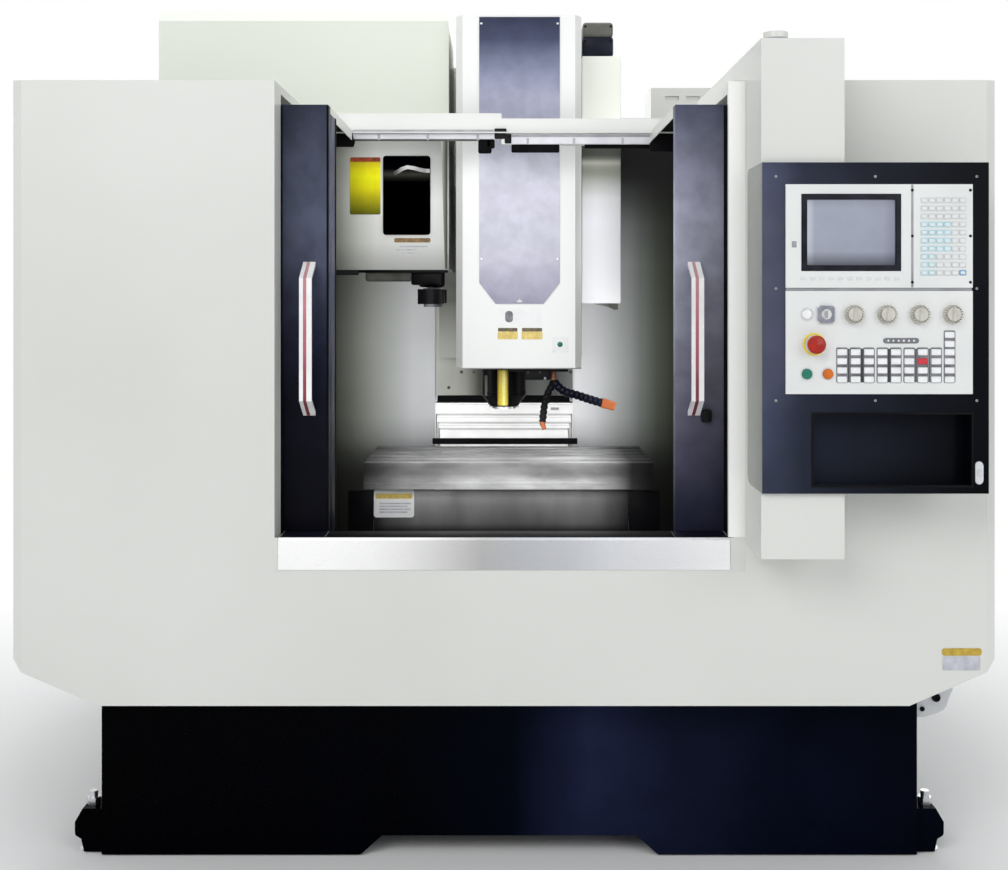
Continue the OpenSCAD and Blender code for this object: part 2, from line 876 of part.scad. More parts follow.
// Door frame with its roof part; x is the inner edge, drawn for the right side
module door(x) {
    roof_z = door_top - sheet;
    color([0.07, 0.09, 0.20]) union() {
        difference() {
            block([x, door_y, door_z0], [x + door_w, door_y1, door_top]);
            block([x + stile_w, door_y - 1, window_z0], [x + door_w - outer_stile_w, door_y1 + 1, window_z1]);
        }
        block([x, door_y1 - 1, roof_z], [x + door_w, door_roof_y1, door_top]);
        block([x, door_y1 - 1, door_top - door_roof_lip], [x + sheet, door_roof_y1 - ledge_d, door_top]);
    }
}

module door_left() {
    on_side(1) door(-door_left_x);
}

module door_right() {
    door(door_right_x);
}

// Window pane seated in its door, drawn for the right side
module door_window(x) {
    y = door_y + door_t / 2 - pane_t / 2;
    color([0.55, 0.62, 0.66, 0.4]) {
        block([x + stile_w, y, window_z0], [x + door_w - outer_stile_w, y + pane_t, window_z1]);
    }
}

module door_window_left() {
    on_side(1) door_window(-door_left_x);
}

module door_window_right() {
    door_window(door_right_x);
}

// Bow handle on a door's stile, drawn for the right side
module door_handle(x) {
    y = door_y;
    out = door_y - handle_reach;
    mid = x + handle_inset;
    color([0.85, 0.86, 0.87]) along_x(mid - handle_w / 2, mid + handle_w / 2) polygon([
        [y, handle_z0], [out, handle_z0 + handle_slope], [out, handle_z1 - handle_slope], [y, handle_z1],
        [y, handle_z1 - handle_t * 1.6], [out + handle_t, handle_z1 - handle_slope - handle_t * 0.4],
        [out + handle_t, handle_z0 + handle_slope + handle_t * 0.4], [y, handle_z0 + handle_t * 1.6]
    ]);
}

module door_handle_left() {
    on_side(1) door_handle(-door_left_x);
}

module door_handle_right() {
    door_handle(door_right_x);
}

/* Column, guides and screws */

way_screw_z = way_bed_z - screw_inset - screw_d / 2;
cross_screw_z = saddle_z - screw_inset - screw_d / 2;
head_screw_y = column_y + screw_inset + screw_d / 2;
head_bearing_z = [column_cover_z1 - 220, column_top - 60];

module column_casting() {
    color([0.80, 0.82, 0.80]) union() {
        difference() {
            along_y(column_y, bed_y1) polygon([
                [-column_seat_half, way_bed_z], [-arch_half, way_bed_z], [-arch_half, arch_z],
                [arch_half, arch_z], [arch_half, way_bed_z], [column_seat_half, way_bed_z],
                [column_seat_half, leg_taper_z0], [column_half, leg_taper_z1], [column_half, column_top],
                [-column_half, column_top], [-column_half, leg_taper_z1], [-column_seat_half, leg_taper_z0]
            ]);
            block([-screw_groove_half, column_y - 1, head_bearing_z[0] - 10],
                [screw_groove_half, column_y + screw_groove_d, head_bearing_z[1]]);
        }
        difference() {
            block([-50, column_y, head_bearing_z[0] - 11], [50, column_y + screw_groove_d + 1, head_bearing_z[0] + 50]);
            bar_z(0, head_screw_y, head_bearing_z[0] - 12, head_bearing_z[0] + 51, screw_d / 2 - 5 + run_play);
        }
    }
}

// Guide rail lying along Y
module way_rail(x, y0, y1) {
    block([x - rail_w / 2, y0, way_bed_z], [x + rail_w / 2, y1, way_bed_z + rail_h]);
}

rail_y0 = bed_y0 + 430;
rail_y1 = cover_y - 60;
head_rail_z0 = column_cover_z1 - 40;

module guide_rails() {
    color([0.70, 0.72, 0.74]) {
        for (side = [-1, 1]) {
            way_rail(side * way_x, rail_y0, rail_y1);
            block([side * head_way_x - rail_w / 2, column_y - rail_h, head_rail_z0],
                [side * head_way_x + rail_w / 2, column_y, column_top - 20]);
        }
    }
}

// Threaded shaft with plain journals, standing on the origin
module ball_screw(l, journal_0, journal_1) {
    r = screw_d / 2;
    color([0.72, 0.73, 0.75]) rotate_extrude() polygon([
        [0, 0], [r - 5, 0], [r - 5, journal_0], [r, journal_0], [r, l - journal_1],
        [r - 5, l - journal_1], [r - 5, l], [0, l]
    ]);
}

module screw_y() {
    y0 = bed_y0 + 152;
    translate([0, y0, way_screw_z]) rotate([-90, 0, 0]) ball_screw(bed_y1 - 62 - y0, 58.3, 58.3);
}

module screw_x() {
    x0 = -saddle_half + 2;
    translate([x0, table_mid_y, cross_screw_z]) rotate([0, 90, 0]) ball_screw(-2 * x0, 48.3, 48.3);
}

module screw_z() {
    z0 = head_bearing_z[0];
    translate([0, head_screw_y, z0]) ball_screw(head_bearing_z[1] - 0.3 - z0, 50.3, 10);
}

// Carriage that runs on a rail along Y; its top face is at the guide height
module carriage_y(x, y) {
    p = slide_play;
    difference() {
        block([x - carriage_w / 2, y - carriage_l / 2, way_bed_z + 8], [x + carriage_w / 2, y + carriage_l / 2, way_guide_z + 1]);
        block([x - rail_w / 2 - p, y - carriage_l / 2 - 1, way_bed_z], [x + rail_w / 2 + p, y + carriage_l / 2 + 1, way_bed_z + rail_h + p]);
    }
}

way_carriages = [saddle_y0 + 92, saddle_y1 - 90];
cross_rails = [table_mid_y - cross_way_y, table_mid_y + cross_way_y];

module saddle() {
    side_z = saddle_z - 80;
    nut_y = (saddle_y0 + saddle_y1) / 2;
    color([0.30, 0.32, 0.34]) union() {
        difference() {
            along_y(saddle_y0, saddle_y1) polygon([
                [-saddle_half, side_z], [-way_bed_half, way_guide_z], [way_bed_half, way_guide_z],
                [saddle_half, side_z], [saddle_half, saddle_z], [-saddle_half, saddle_z]
            ]);
            block([-saddle_half + 50, table_mid_y - 60, saddle_z - screw_groove_d], [saddle_half - 50, table_mid_y + 60, saddle_z + 1]);
            bar_x(-saddle_half - 1, saddle_half + 1, table_mid_y, cross_screw_z, screw_d / 2 - 5 + run_play);
        }
        for (x = [-way_x, way_x], y = way_carriages) carriage_y(x, y);
        difference() {
            block([-60, nut_y - 35, way_bed_z - screw_groove_d + 8], [60, nut_y + 35, way_guide_z + 1]);
            bar_y(0, nut_y - 36, nut_y + 36, way_screw_z, screw_d / 2 + 0.5);
        }
        block([-200, saddle_y1 - 1, way_guide_z + 40], [200, cover_last_y, saddle_z - 10]);
    }
}

module saddle_rails() {
    color([0.70, 0.72, 0.74]) for (y = cross_rails) {
        block([-saddle_half, y - rail_w / 2, saddle_z], [saddle_half, y + rail_w / 2, saddle_z + rail_h]);
    }
}

// Front apron of the saddle with the plate that runs forward over the ways
module saddle_apron() {
    top = table_bottom - apron_gap;
    color([0.62, 0.63, 0.64]) union() {
        block([apron_x0, saddle_y0 - sheet, apron_z], [apron_x1, saddle_y0, top]);
        block([-front_cover_half, apron_y0, apron_z], [front_cover_half, saddle_y0, apron_z + sheet]);
    }
}

module slot_profile(y) {
    throat_d = slot_depth - slot_foot_h;
    translate([y - slot_w / 2, table_z - throat_d - eps]) square([slot_w, throat_d + 1]);
    translate([y - slot_foot_w / 2, table_z - slot_depth]) square([slot_foot_w, slot_foot_h]);
}

// Table plate with T-slots along X, its rib and its carriages
module table() {
    p = slide_play;
    x0 = table_x - table_l / 2;
    x1 = table_x + table_l / 2;
    rib_z = cross_guide_z;
    color([0.45, 0.47, 0.49]) union() {
        along_x(x0, x1) difference() {
            union() {
                translate([table_y0, table_bottom]) square([table_w, table_t]);
                translate([table_y0 - ledge_reach, table_bottom]) square([ledge_reach + 1, ledge_h]);
            }
            for (i = [0 : slot_count - 1]) slot_profile(table_mid_y + (i - (slot_count - 1) / 2) * slot_pitch);
        }
        block([-180, table_mid_y - 170, rib_z], [180, table_mid_y + 170, table_bottom + 1]);
        for (x = [-100, 100], y = cross_rails) difference() {
            block([x - carriage_l / 2, y - carriage_w / 2, saddle_z + 8], [x + carriage_l / 2, y + carriage_w / 2, rib_z + 1]);
            block([x - carriage_l / 2 - 1, y - rail_w / 2 - p, saddle_z], [x + carriage_l / 2 + 1, y + rail_w / 2 + p, saddle_z + rail_h + p]);
        }
        difference() {
            block([-35, table_mid_y - 50, saddle_z - screw_groove_d + 8], [35, table_mid_y + 50, rib_z + 1]);
            bar_x(-36, 36, table_mid_y, cross_screw_z, screw_d / 2 + 0.5);
        }
    }
}

/* Way covers */

// One telescopic cover: top, two legs and a front lip that wipes the next cover
module rear_cover(half, y, top, lip_z, leg_z) {
    color([0.85, 0.86, 0.87]) union() {
        block([-half, y, top - sheet], [half, y + cover_l, top]);
        for (side = [-1, 1]) {
            x = side > 0 ? half - sheet : -half;
            block([x, y, leg_z], [x + sheet, y + cover_l, top]);
        }
        block([-half, y, lip_z], [half, y + sheet, top]);
    }
}

module rear_cover_fixed() {
    rear_cover(cover_half, cover_y, cover_top, cover_top_1 + door_gap, way_bed_z);
}

module rear_cover_outer() {
    rear_cover(cover_half - cover_step, cover_y - cover_pitch, cover_top_1, cover_top_2 + door_gap, cover_leg_z);
}

module rear_cover_middle() {
    rear_cover(cover_half - 2 * cover_step, cover_y - 2 * cover_pitch, cover_top_2, cover_top_3 + door_gap, cover_leg_z);
}

module rear_cover_inner() {
    rear_cover(cover_half - 3 * cover_step, cover_last_y, cover_top_3, cover_leg_z, cover_leg_z);
}

// Fixed cover over the front of the ways
module front_way_cover() {
    x = front_cover_half;
    color([0.62, 0.63, 0.64]) along_y(front_cover_y0, front_cover_y1) polygon([
        [-x, way_bed_z], [-x, front_cover_z], [x, front_cover_z], [x, way_bed_z], [x - sheet, way_bed_z],
        [x - sheet, front_cover_z - sheet], [-x + sheet, front_cover_z - sheet], [-x + sheet, way_bed_z]
    ]);
}

module column_cover() {
    x = column_cover_half;
    z = column_cover_z0;
    color([0.76, 0.77, 0.74]) translate([0, 0, z]) linear_extrude(column_cover_z1 - z) polygon([
        [-x, column_cover_y], [x, column_cover_y], [x, column_y], [x - sheet, column_y],
        [x - sheet, column_cover_y + sheet], [-x + sheet, column_cover_y + sheet],
        [-x + sheet, column_y], [-x, column_y]
    ]);
}

/* Spindle head */

head_carriages = [plate_top - 295, plate_top - 65];

module carriage_z(x, z) {
    p = slide_play;
    difference() {
        block([x - carriage_w / 2, head_back_y - 1, z - carriage_l / 2], [x + carriage_w / 2, column_y - 8, z + carriage_l / 2]);
        block([x - rail_w / 2 - p, column_y - rail_h - p, z - carriage_l / 2 - 1], [x + rail_w / 2 + p, column_y, z + carriage_l / 2 + 1]);
    }
}

module head_casting() {
    nut_z = 1815;
    color([0.80, 0.82, 0.80]) union() {
        difference() {
            along_x(-arm_half, arm_half) polygon([
                [arm_y0, arm_z], [head_back_y, arm_z], [head_back_y, plate_top - 60], [plate_y - 60, plate_top - 100],
                [spindle_y + 160, arm_top], [arm_y0, arm_top]
            ]);
            bar_z(0, spindle_y, arm_z - 1, arm_top + 1, housing_r - 2.4);
        }
        block([plate_x0, plate_y, arm_z], [plate_x1, head_back_y, plate_top]);
        for (x = [-head_way_x, head_way_x], z = head_carriages) carriage_z(x, z);
        difference() {
            block([-60, head_back_y - 1, nut_z - 35], [60, head_screw_y + screw_d / 2 + 5, nut_z + 35]);
            bar_z(0, head_screw_y, nut_z - 36, nut_z + 36, screw_d / 2 + 0.5);
        }
    }
}

head_plan = [
    [head_x0, head_y + head_chamfer_d], [head_x0 + head_chamfer, head_y],
    [head_x1 - head_chamfer, head_y], [head_x1, head_y + head_chamfer_d],
    [head_x1, head_y1], [head_x0, head_y1]
];
head_plan_inner = [
    [head_x0 + sheet, head_y + head_chamfer_d + sheet * 0.3], [head_x0 + head_chamfer + sheet * 0.7, head_y + sheet],
    [head_x1 - head_chamfer - sheet * 0.7, head_y + sheet], [head_x1 - sheet, head_y + head_chamfer_d + sheet * 0.3],
    [head_x1 - sheet, head_y1 + 1], [head_x0 + sheet, head_y1 + 1]
];

module head_cover() {
    color([0.90, 0.91, 0.89]) difference() {
        translate([0, 0, head_z]) linear_extrude(head_top - head_z) polygon(head_plan);
        translate([0, 0, arm_z]) linear_extrude(head_top - sheet - arm_z) polygon(head_plan_inner);
        bar_z(0, spindle_y, head_z - 1, arm_z + 1, housing_r + 1);
    }
}

module head_panel() {
    color([0.30, 0.32, 0.48]) along_y(head_y - panel_t, head_y) polygon([
        [panel_x0 + panel_cut_w, panel_z], [panel_x1 - panel_cut_w, panel_z], [panel_x1, panel_z + panel_cut_h],
        [panel_x1, head_top - 8], [panel_x0, head_top - 8], [panel_x0, panel_z + panel_cut_h]
    ]);
}

module spindle_motor() {
    w = motor_w / 2;
    color([0.15, 0.15, 0.17]) translate([0, spindle_y, arm_top]) union() {
        linear_extrude(30) circle(r = w * 0.98);
        translate([0, 0, 30 - eps]) linear_extrude(motor_h - 30) polygon([
            [-w, -w * 0.6], [-w * 0.6, -w], [w * 0.6, -w], [w, -w * 0.6],
            [w, w * 0.6], [w * 0.6, w], [-w * 0.6, w], [-w, w * 0.6]
        ]);
    }
}

shaft_r = 32;

module spindle_housing() {
    face_z = nose_z + 8;
    color([0.06, 0.06, 0.07]) translate([0, spindle_y, 0]) rotate_extrude() polygon([
        [shaft_r + run_play, face_z], [nose_r + 7, face_z], [housing_r, housing_taper_z], [housing_r, arm_z],
        [housing_r - 2.5, arm_z], [housing_r - 2.5, arm_top - 40], [shaft_r + run_play, arm_top - 40]
    ]);
}

// Turning spindle with its 7:24 tool taper open at the nose
module spindle() {
    gauge_r = 22.225;
    taper_l = 65;
    bore_r = 8.5;
    color([0.70, 0.71, 0.73]) translate([0, spindle_y, 0]) rotate_extrude() polygon([
        [gauge_r, nose_z], [nose_r, nose_z], [nose_r, nose_z + 7.7], [shaft_r, nose_z + 7.7],
        [shaft_r, arm_top - 45], [bore_r, arm_top - 45],
        [bore_r, nose_z + taper_l], [gauge_r - taper_l * 7 / 48, nose_z + taper_l]
    ]);
}

// Chain of ball-jointed hose segments pointing down from the origin
module hose_chain(count) {
    r = hose_d / 2;
    rotate_extrude() polygon(concat(
        [[0, 4]],
        [for (i = [0 : count - 1], k = [0 : 2])
            [k == 1 ? r : r * 0.72, (k == 0 ? 4 : k == 1 ? -3 : -hose_pitch + 3) - i * hose_pitch]],
        [[r * 0.72, -count * hose_pitch], [nozzle_d / 2, -count * hose_pitch - 28], [0, -count * hose_pitch - 28]]
    ));
}

hose_x = 166;
hose_y = head_y + 80;

module coolant_hoses() {
    plate_z = head_z - 16;
    color([0.08, 0.09, 0.12]) union() {
        block([18, hose_y - 40, plate_z], [hose_x + 52, hose_y + 40, head_z]);
        bar_z(hose_x, hose_y, plate_z - 30, plate_z + 1, hose_d / 2 + 2);
        translate([hose_x, hose_y, plate_z - 26]) rotate([0, 11, 0]) hose_chain(8);
        translate([hose_x + 4, hose_y, plate_z - 24]) rotate([0, -66, 0]) hose_chain(12);
    }
}

module cable_duct() {
    box_x = duct_x0 + 2;
    x1 = duct_x0 + duct_w;
    color([0.88, 0.89, 0.87]) union() {
        block([duct_x0, duct_y, duct_z0], [x1, plate_y, duct_z1]);
        block([box_x, duct_y, duct_z1 - 1], [box_x + duct_box_w, duct_y + duct_box_d, duct_z1 + duct_box_h]);
    }
}

// Moving plate under the head that covers the head's ways
module head_apron() {
    x = column_cover_half;
    color([0.74, 0.75, 0.71]) block([-x, head_back_y, head_apron_z], [x, head_back_y + sheet, head_rail_z0 - 10]);
}

/* Tool changer */

module magazine_cover() {
    x0 = magazine_x0;
    x1 = magazine_x1;
    c = magazine_chamfer;
    t = sheet;
    color([0.90, 0.91, 0.88]) difference() {
        along_x(x0, x1) polygon([
            [magazine_y0, magazine_z0], [magazine_y1, magazine_z0], [magazine_y1, magazine_z1],
            [magazine_y0 + c, magazine_z1], [magazine_y0, magazine_z1 - c]
        ]);
        along_x(x0 + t, x1 - t) polygon([
            [magazine_y0 + t, magazine_z0 + t], [magazine_y1 - t, magazine_z0 + t], [magazine_y1 - t, magazine_z1 - t],
            [magazine_y0 + c + t * 0.41, magazine_z1 - t], [magazine_y0 + t, magazine_z1 - c - t * 0.41]
        ]);
        block([changer_x - 100, spindle_y - 90, magazine_z0 - 1], [changer_x + 50, spindle_y + 90, magazine_z0 + t + 1]);
        block([bracket_x0 - 1, magazine_y1 - t - 1, bracket_z0 - 1], [bracket_x1 + 1, magazine_y1 + 1, bracket_z1 + 1]);
    }
}

bracket_x0 = -378;
bracket_x1 = -276;
bracket_z0 = 1682;
bracket_z1 = 1840;
gearbox_y1 = spindle_y + 80;
gearbox_z1 = changer_z + 460;
plate_margin = 150;

// Bracket on the column with the changer's gearbox and the disc's pin
module magazine_frame() {
    back_y = magazine_y1 - sheet;
    color([0.45, 0.47, 0.48]) union() {
        block([bracket_x0, gearbox_y1 - 1, bracket_z0], [bracket_x1, column_y, bracket_z1]);
        block([disc_x - plate_margin, back_y - 20, bracket_z0], [bracket_x0 + 1, back_y, disc_z + plate_margin]);
        bar_y(disc_x, disc_y + disc_t + 5, back_y - 19, disc_z, disc_pin_r + 20);
        bar_y(disc_x, disc_y - 5, disc_y + disc_t + 6, disc_z, disc_pin_r);
        difference() {
            union() {
                block([changer_x - 90, spindle_y - 80, bracket_z0], [changer_x + 45, gearbox_y1, gearbox_z1]);
                translate([changer_x, spindle_y, changer_z]) cylinder(h = bracket_z0 - changer_z + 1, r1 = 36, r2 = 42);
            }
            bar_z(changer_x, spindle_y, changer_z - 1, changer_z + changer_shaft_l, changer_shaft_r + run_play);
        }
    }
}

module magazine_disc() {
    pot_y = disc_y - pot_l;
    color([0.35, 0.36, 0.38]) difference() {
        union() {
            bar_y(disc_x, disc_y, disc_y + disc_t, disc_z, pot_circle_r - 8);
            for (i = [0 : pot_count - 1]) {
                a = i * 360 / pot_count;
                bar_y(disc_x + pot_circle_r * cos(a), pot_y, disc_y + disc_t, disc_z + pot_circle_r * sin(a), pot_r);
            }
        }
        bar_y(disc_x, disc_y - 1, disc_y + disc_t + 1, disc_z, disc_pin_r + run_play);
        for (i = [0 : pot_count - 1]) {
            a = i * 360 / pot_count;
            translate([disc_x + pot_circle_r * cos(a), pot_y - 1, disc_z + pot_circle_r * sin(a)])
                rotate([-90, 0, 0]) cylinder(h = 66, r1 = 22.4, r2 = 12.6);
        }
        for (i = [0 : 5]) {
            bar_y(disc_x + 180 * cos(i * 60), disc_y - 1, disc_y + disc_t + 1, disc_z + 180 * sin(i * 60), 60);
        }
    }
}

module changer_shaft() {
    bottom = changer_z - changer_t - 0.5;
    color([0.72, 0.73, 0.75]) union() {
        bar_z(changer_x, spindle_y, bottom - 12, changer_z + changer_shaft_l - 60, changer_shaft_r);
        bar_z(changer_x, spindle_y, bottom - 12, bottom - 0.2, changer_shaft_r + 8);
    }
}

// Double arm with a gripper at each end, at rest along Y
module changer_arm() {
    z = changer_z - changer_t - 0.5;
    color([0.10, 0.10, 0.11]) translate([changer_x, spindle_y, z]) difference() {
        linear_extrude(changer_t) difference() {
            union() {
                circle(r = 42);
                square([56, 2 * changer_reach], center = true);
                for (s = [-1, 1]) translate([0, s * changer_reach]) circle(r = grip_r + 12);
            }
            for (s = [-1, 1]) {
                translate([0, s * changer_reach]) circle(r = grip_r);
                translate([s > 0 ? 0 : -60, s * changer_reach - 22]) square([60, 44]);
            }
        }
        cylinder(h = 3 * changer_t, r = changer_shaft_r + run_play, center = true);
    }
}

/* Control pod */

module pod_housing() {
    x1 = pod_x0 + pod_w;
    front = -pod_reach;
    color([0.88, 0.88, 0.85]) union() {
        block([pod_x0, console_back, pod_z0], [x1, 0, pod_z1]);
        block([pod_x0, front, pod_z0], [x1, console_back + 1, console_z0]);
        block([pod_x0, front, console_z1], [x1, console_back + 1, pod_z1]);
        block([pod_x0, -1, enclosure_top], [x1, pod_arm_y1, pod_z1]);
        bar_z(pod_x0 + 49, front + 60, pod_z1 - 1, pod_z1 + 25, 32);
    }
}

start_x = switch_x - 18;

module pod_console() {
    bore_y = unit_y + control_bore_d;
    color([0.06, 0.08, 0.18]) difference() {
        block([pod_x0, unit_y, console_z0], [console_x1, console_back, console_z1]);
        block([pocket_x0, unit_y - 1, pocket_z0], [pocket_x1, unit_y + pocket_d, pocket_z1]);
        bar_y(switch_x, unit_y - 1, bore_y, estop_z, estop_stem_r + button_play);
        bar_y(start_x, unit_y - 1, bore_y, button_z, button_r + button_play);
        bar_y(start_x + button_pitch, unit_y - 1, bore_y, button_z, button_r + button_play);
        bar_y(rotor_x, unit_y - 1, bore_y, knob_z, rotor_r + button_play);
        for (i = [0 : 3]) bar_y(knob_x + i * knob_pitch, unit_y - 1, bore_y, knob_z, knob_shaft_r + button_play);
    }
}

rotor_x = switch_x + 30;

// Grid of raised key caps
module key_grid(x, z, columns, rows, pitch_x, pitch_z, w, h) {
    for (i = [0 : columns - 1], k = [0 : rows - 1]) {
        block([x + i * pitch_x - w / 2, unit_front - key_rise, z + k * pitch_z - h / 2],
            [x + i * pitch_x + w / 2, unit_front + 1, z + k * pitch_z + h / 2]);
    }
}

module display_unit() {
    color([0.86, 0.87, 0.86]) union() {
        difference() {
            block([unit_x0, unit_front, display_z0], [unit_x1, unit_y, display_z1]);
            block([screen_x0, unit_front - 1, screen_z0], [screen_x1, unit_front + screen_d, screen_z1]);
        }
        key_grid(key_x, key_z, 6, 10, key_pitch_x, key_pitch_z, key_w, key_h);
    }
}

module operator_unit() {
    color([0.86, 0.87, 0.86]) difference() {
        union() {
            block([unit_x0, unit_front, operator_z0], [unit_x1, unit_y, operator_z1]);
            key_grid(matrix_x, matrix_z, 9, 4, matrix_pitch_x, matrix_pitch_z, matrix_key_w, matrix_key_h);
            bar_y(switch_x, unit_front - 4, unit_front + 1, estop_z, estop_ring_r);
            block([rotor_x - 20, unit_front - 8, knob_z - 21.5], [rotor_x + 20, unit_front + 1, knob_z + 21.5]);
        }
        bar_y(switch_x, unit_front - 5, unit_y + 1, estop_z, estop_stem_r + button_play);
        bar_y(start_x, unit_front - 1, unit_y + 1, button_z, button_r + button_play);
        bar_y(start_x + button_pitch, unit_front - 1, unit_y + 1, button_z, button_r + button_play);
        bar_y(rotor_x, unit_front - 9, unit_y + 1, knob_z, rotor_r + button_play);
        for (i = [0 : 3]) bar_y(knob_x + i * knob_pitch, unit_front - 1, unit_y + 1, knob_z, knob_shaft_r + button_play);
    }
}

module estop_button() {
    cap_y = unit_front - estop_gap;
    color([0.80, 0.05, 0.05]) translate([switch_x, 0, estop_z]) rotate([90, 0, 0]) rotate_extrude() polygon([
        [0, -unit_y - 10], [estop_stem_r, -unit_y - 10], [estop_stem_r, -cap_y], [estop_r - 3, -cap_y],
        [estop_r, -cap_y + 4], [estop_r, -cap_y + estop_l - 5], [estop_r - 5, -cap_y + estop_l], [0, -cap_y + estop_l + 4]
    ]);
}

module push_button(x, shade) {
    color(shade) translate([x, 0, button_z]) rotate([90, 0, 0]) rotate_extrude() polygon([
        [0, -unit_y - 8], [button_r, -unit_y - 8], [button_r, -unit_front + button_rise - 1.5],
        [button_r - 1.5, -unit_front + button_rise], [0, -unit_front + button_rise]
    ]);
}

module start_button() {
    push_button(start_x, [0.15, 0.55, 0.30]);
}

module stop_button() {
    push_button(start_x + button_pitch, [0.90, 0.45, 0.10]);
}

// Rotor of the key switch with the bow of its key
module key_rotor() {
    color([0.60, 0.61, 0.62]) union() {
        bar_y(rotor_x, unit_front - 11, unit_y + 10, knob_z, rotor_r);
        block([rotor_x - 1.5, unit_front - 30, knob_z - 9], [rotor_x + 1.5, unit_front - 10, knob_z + 9]);
    }
}

// Round knob with a raised pointer bar
module knob(i) {
    x = knob_x + i * knob_pitch;
    y0 = unit_front - door_gap - knob_h;
    color([0.78, 0.76, 0.70]) union() {
        bar_y(x, unit_front - door_gap - 8, unit_front - door_gap, knob_z, knob_r);
        bar_y(x, y0 + 3, unit_front - door_gap - 7, knob_z, knob_r * 0.74);
        block([x - 4, y0, knob_z - knob_r * 0.7], [x + 4, y0 + 10, knob_z + knob_r * 0.7]);
        bar_y(x, unit_front - door_gap - 1, unit_y + 10, knob_z, knob_shaft_r);
    }
}

/* Electrical cabinet */

module electrical_cabinet() {
    w = cabinet_wall;
    color([0.84, 0.85, 0.83]) union() {
        difference() {
            block([cabinet_x0, bed_y1, cabinet_z0], [cabinet_x1, cabinet_y1, cabinet_z1]);
            block([cabinet_x0 + w, bed_y1 + w, cabinet_z0 + w], [cabinet_x1 - w, cabinet_y1 + 1, cabinet_z1 - w]);
        }
        difference() {
            block([cooler_x0, bed_y1, cabinet_z1 - 1], [cabinet_x1, bed_y1 + cooler_d, cabinet_z1 + cooler_h]);
            for (x = [cooler_x0 + 60, cooler_x0 + 150]) {
                block([x, bed_y1 - 1, cabinet_z1 + cooler_h - 52], [x + 58, bed_y1 + 12, cabinet_z1 + cooler_h - 34]);
            }
        }
        for (z = hinge_heights) {
            block([hinge_x - knuckle_r, cabinet_y1 - 20, z - 12], [cabinet_x0 + 1, cabinet_y1 - 1, z]);
            block([hinge_x - knuckle_r, cabinet_y1 - 2, z - 12], [hinge_x + knuckle_r, hinge_y + knuckle_r, z]);
            bar_z(hinge_x, hinge_y, z - 1, z + knuckle_h, hinge_pin_r);
        }
    }
}

module cabinet_door() {
    y0 = cabinet_y1 + door_gap;
    y1 = y0 + cabinet_door_t;
    color([0.86, 0.87, 0.85]) union() {
        block([cabinet_x0 + 12, y0, cabinet_z0 + 6], [cabinet_x1 - 4, y1, cabinet_z1 - 6]);
        block([cabinet_x1 - 90, y1 - 1, 1400], [cabinet_x1 - 66, y1 + latch_reach, 1540]);
        for (z = hinge_heights) difference() {
            union() {
                bar_z(hinge_x, hinge_y, z + door_gap, z + knuckle_h, knuckle_r);
                block([hinge_x, hinge_y + 2, z + door_gap], [cabinet_x0 + 14, hinge_y + knuckle_r - 2, z + knuckle_h]);
            }
            bar_z(hinge_x, hinge_y, z - 1, z + knuckle_h + 1, hinge_pin_r + run_play);
        }
    }
}

placed() base_casting();
placed() levelling_bolts();
placed() chip_pan();
placed() front_panel_left();
placed() front_panel_right();
placed() door_sill();
placed() side_wall_left();
placed() side_wall_right();
placed() roof_panels();
placed() header_rails();
placed() column_casting();
placed() rear_guards();
placed() guide_rails();
placed() column_cover();
placed() rear_cover_fixed();
placed() front_way_cover();
placed() magazine_cover();
placed() magazine_frame();
placed() pod_housing();
placed() pod_console();
placed() display_unit();
placed() operator_unit();
placed() electrical_cabinet();
placed() saddle();
placed() saddle_rails();
placed() saddle_apron();
placed() rear_cover_inner();
placed() table();
placed() rear_cover_outer();
placed() rear_cover_middle();
placed() head_casting();
placed() head_cover();
placed() head_panel();
placed() spindle_motor();
placed() spindle_housing();
placed() coolant_hoses();
placed() cable_duct();
placed() head_apron();
placed() spindle();
placed() screw_x();
placed() screw_y();
placed() screw_z();
placed() door_left();
placed() door_right();
placed() door_window_left();
placed() door_window_right();
placed() door_handle_left();
placed() door_handle_right();
placed() magazine_disc();
placed() changer_shaft();
placed() changer_arm();
placed() cabinet_door();
placed() estop_button();
placed() start_button();
placed() stop_button();
placed() key_rotor();
placed() knob(0);  // knob_1
placed() knob(1);  // knob_2
placed() knob(2);  // knob_3
placed() knob(3);  // knob_4
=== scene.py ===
"""Vertical machining centre: finishes, small pieces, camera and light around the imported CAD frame.

Places are given in millimetres as x, d, z: x across, d behind the enclosure's front face, z up.
"""
import math

import bmesh
import bpy
from mathutils import Matrix, Vector


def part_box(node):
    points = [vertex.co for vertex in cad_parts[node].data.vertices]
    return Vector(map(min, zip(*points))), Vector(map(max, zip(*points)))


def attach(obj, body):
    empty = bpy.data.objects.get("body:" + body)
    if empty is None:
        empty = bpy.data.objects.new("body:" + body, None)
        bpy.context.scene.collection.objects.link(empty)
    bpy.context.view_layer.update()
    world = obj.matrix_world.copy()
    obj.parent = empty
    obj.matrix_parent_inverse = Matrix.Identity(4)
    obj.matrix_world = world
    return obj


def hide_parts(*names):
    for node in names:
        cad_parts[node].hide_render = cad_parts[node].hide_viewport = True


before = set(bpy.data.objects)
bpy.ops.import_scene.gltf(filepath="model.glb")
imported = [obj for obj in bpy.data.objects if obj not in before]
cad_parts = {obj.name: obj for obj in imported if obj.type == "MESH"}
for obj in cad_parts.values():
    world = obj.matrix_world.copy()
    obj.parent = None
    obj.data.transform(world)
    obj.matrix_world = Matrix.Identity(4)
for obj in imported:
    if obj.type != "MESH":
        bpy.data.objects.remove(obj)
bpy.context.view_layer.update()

MM = 0.001
FRONT_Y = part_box("front_panel_left")[0].y
FORWARD, BACKWARD, UP, DOWN = (0, -1, 0), (0, 1, 0), (0, 0, 1), (0, 0, -1)


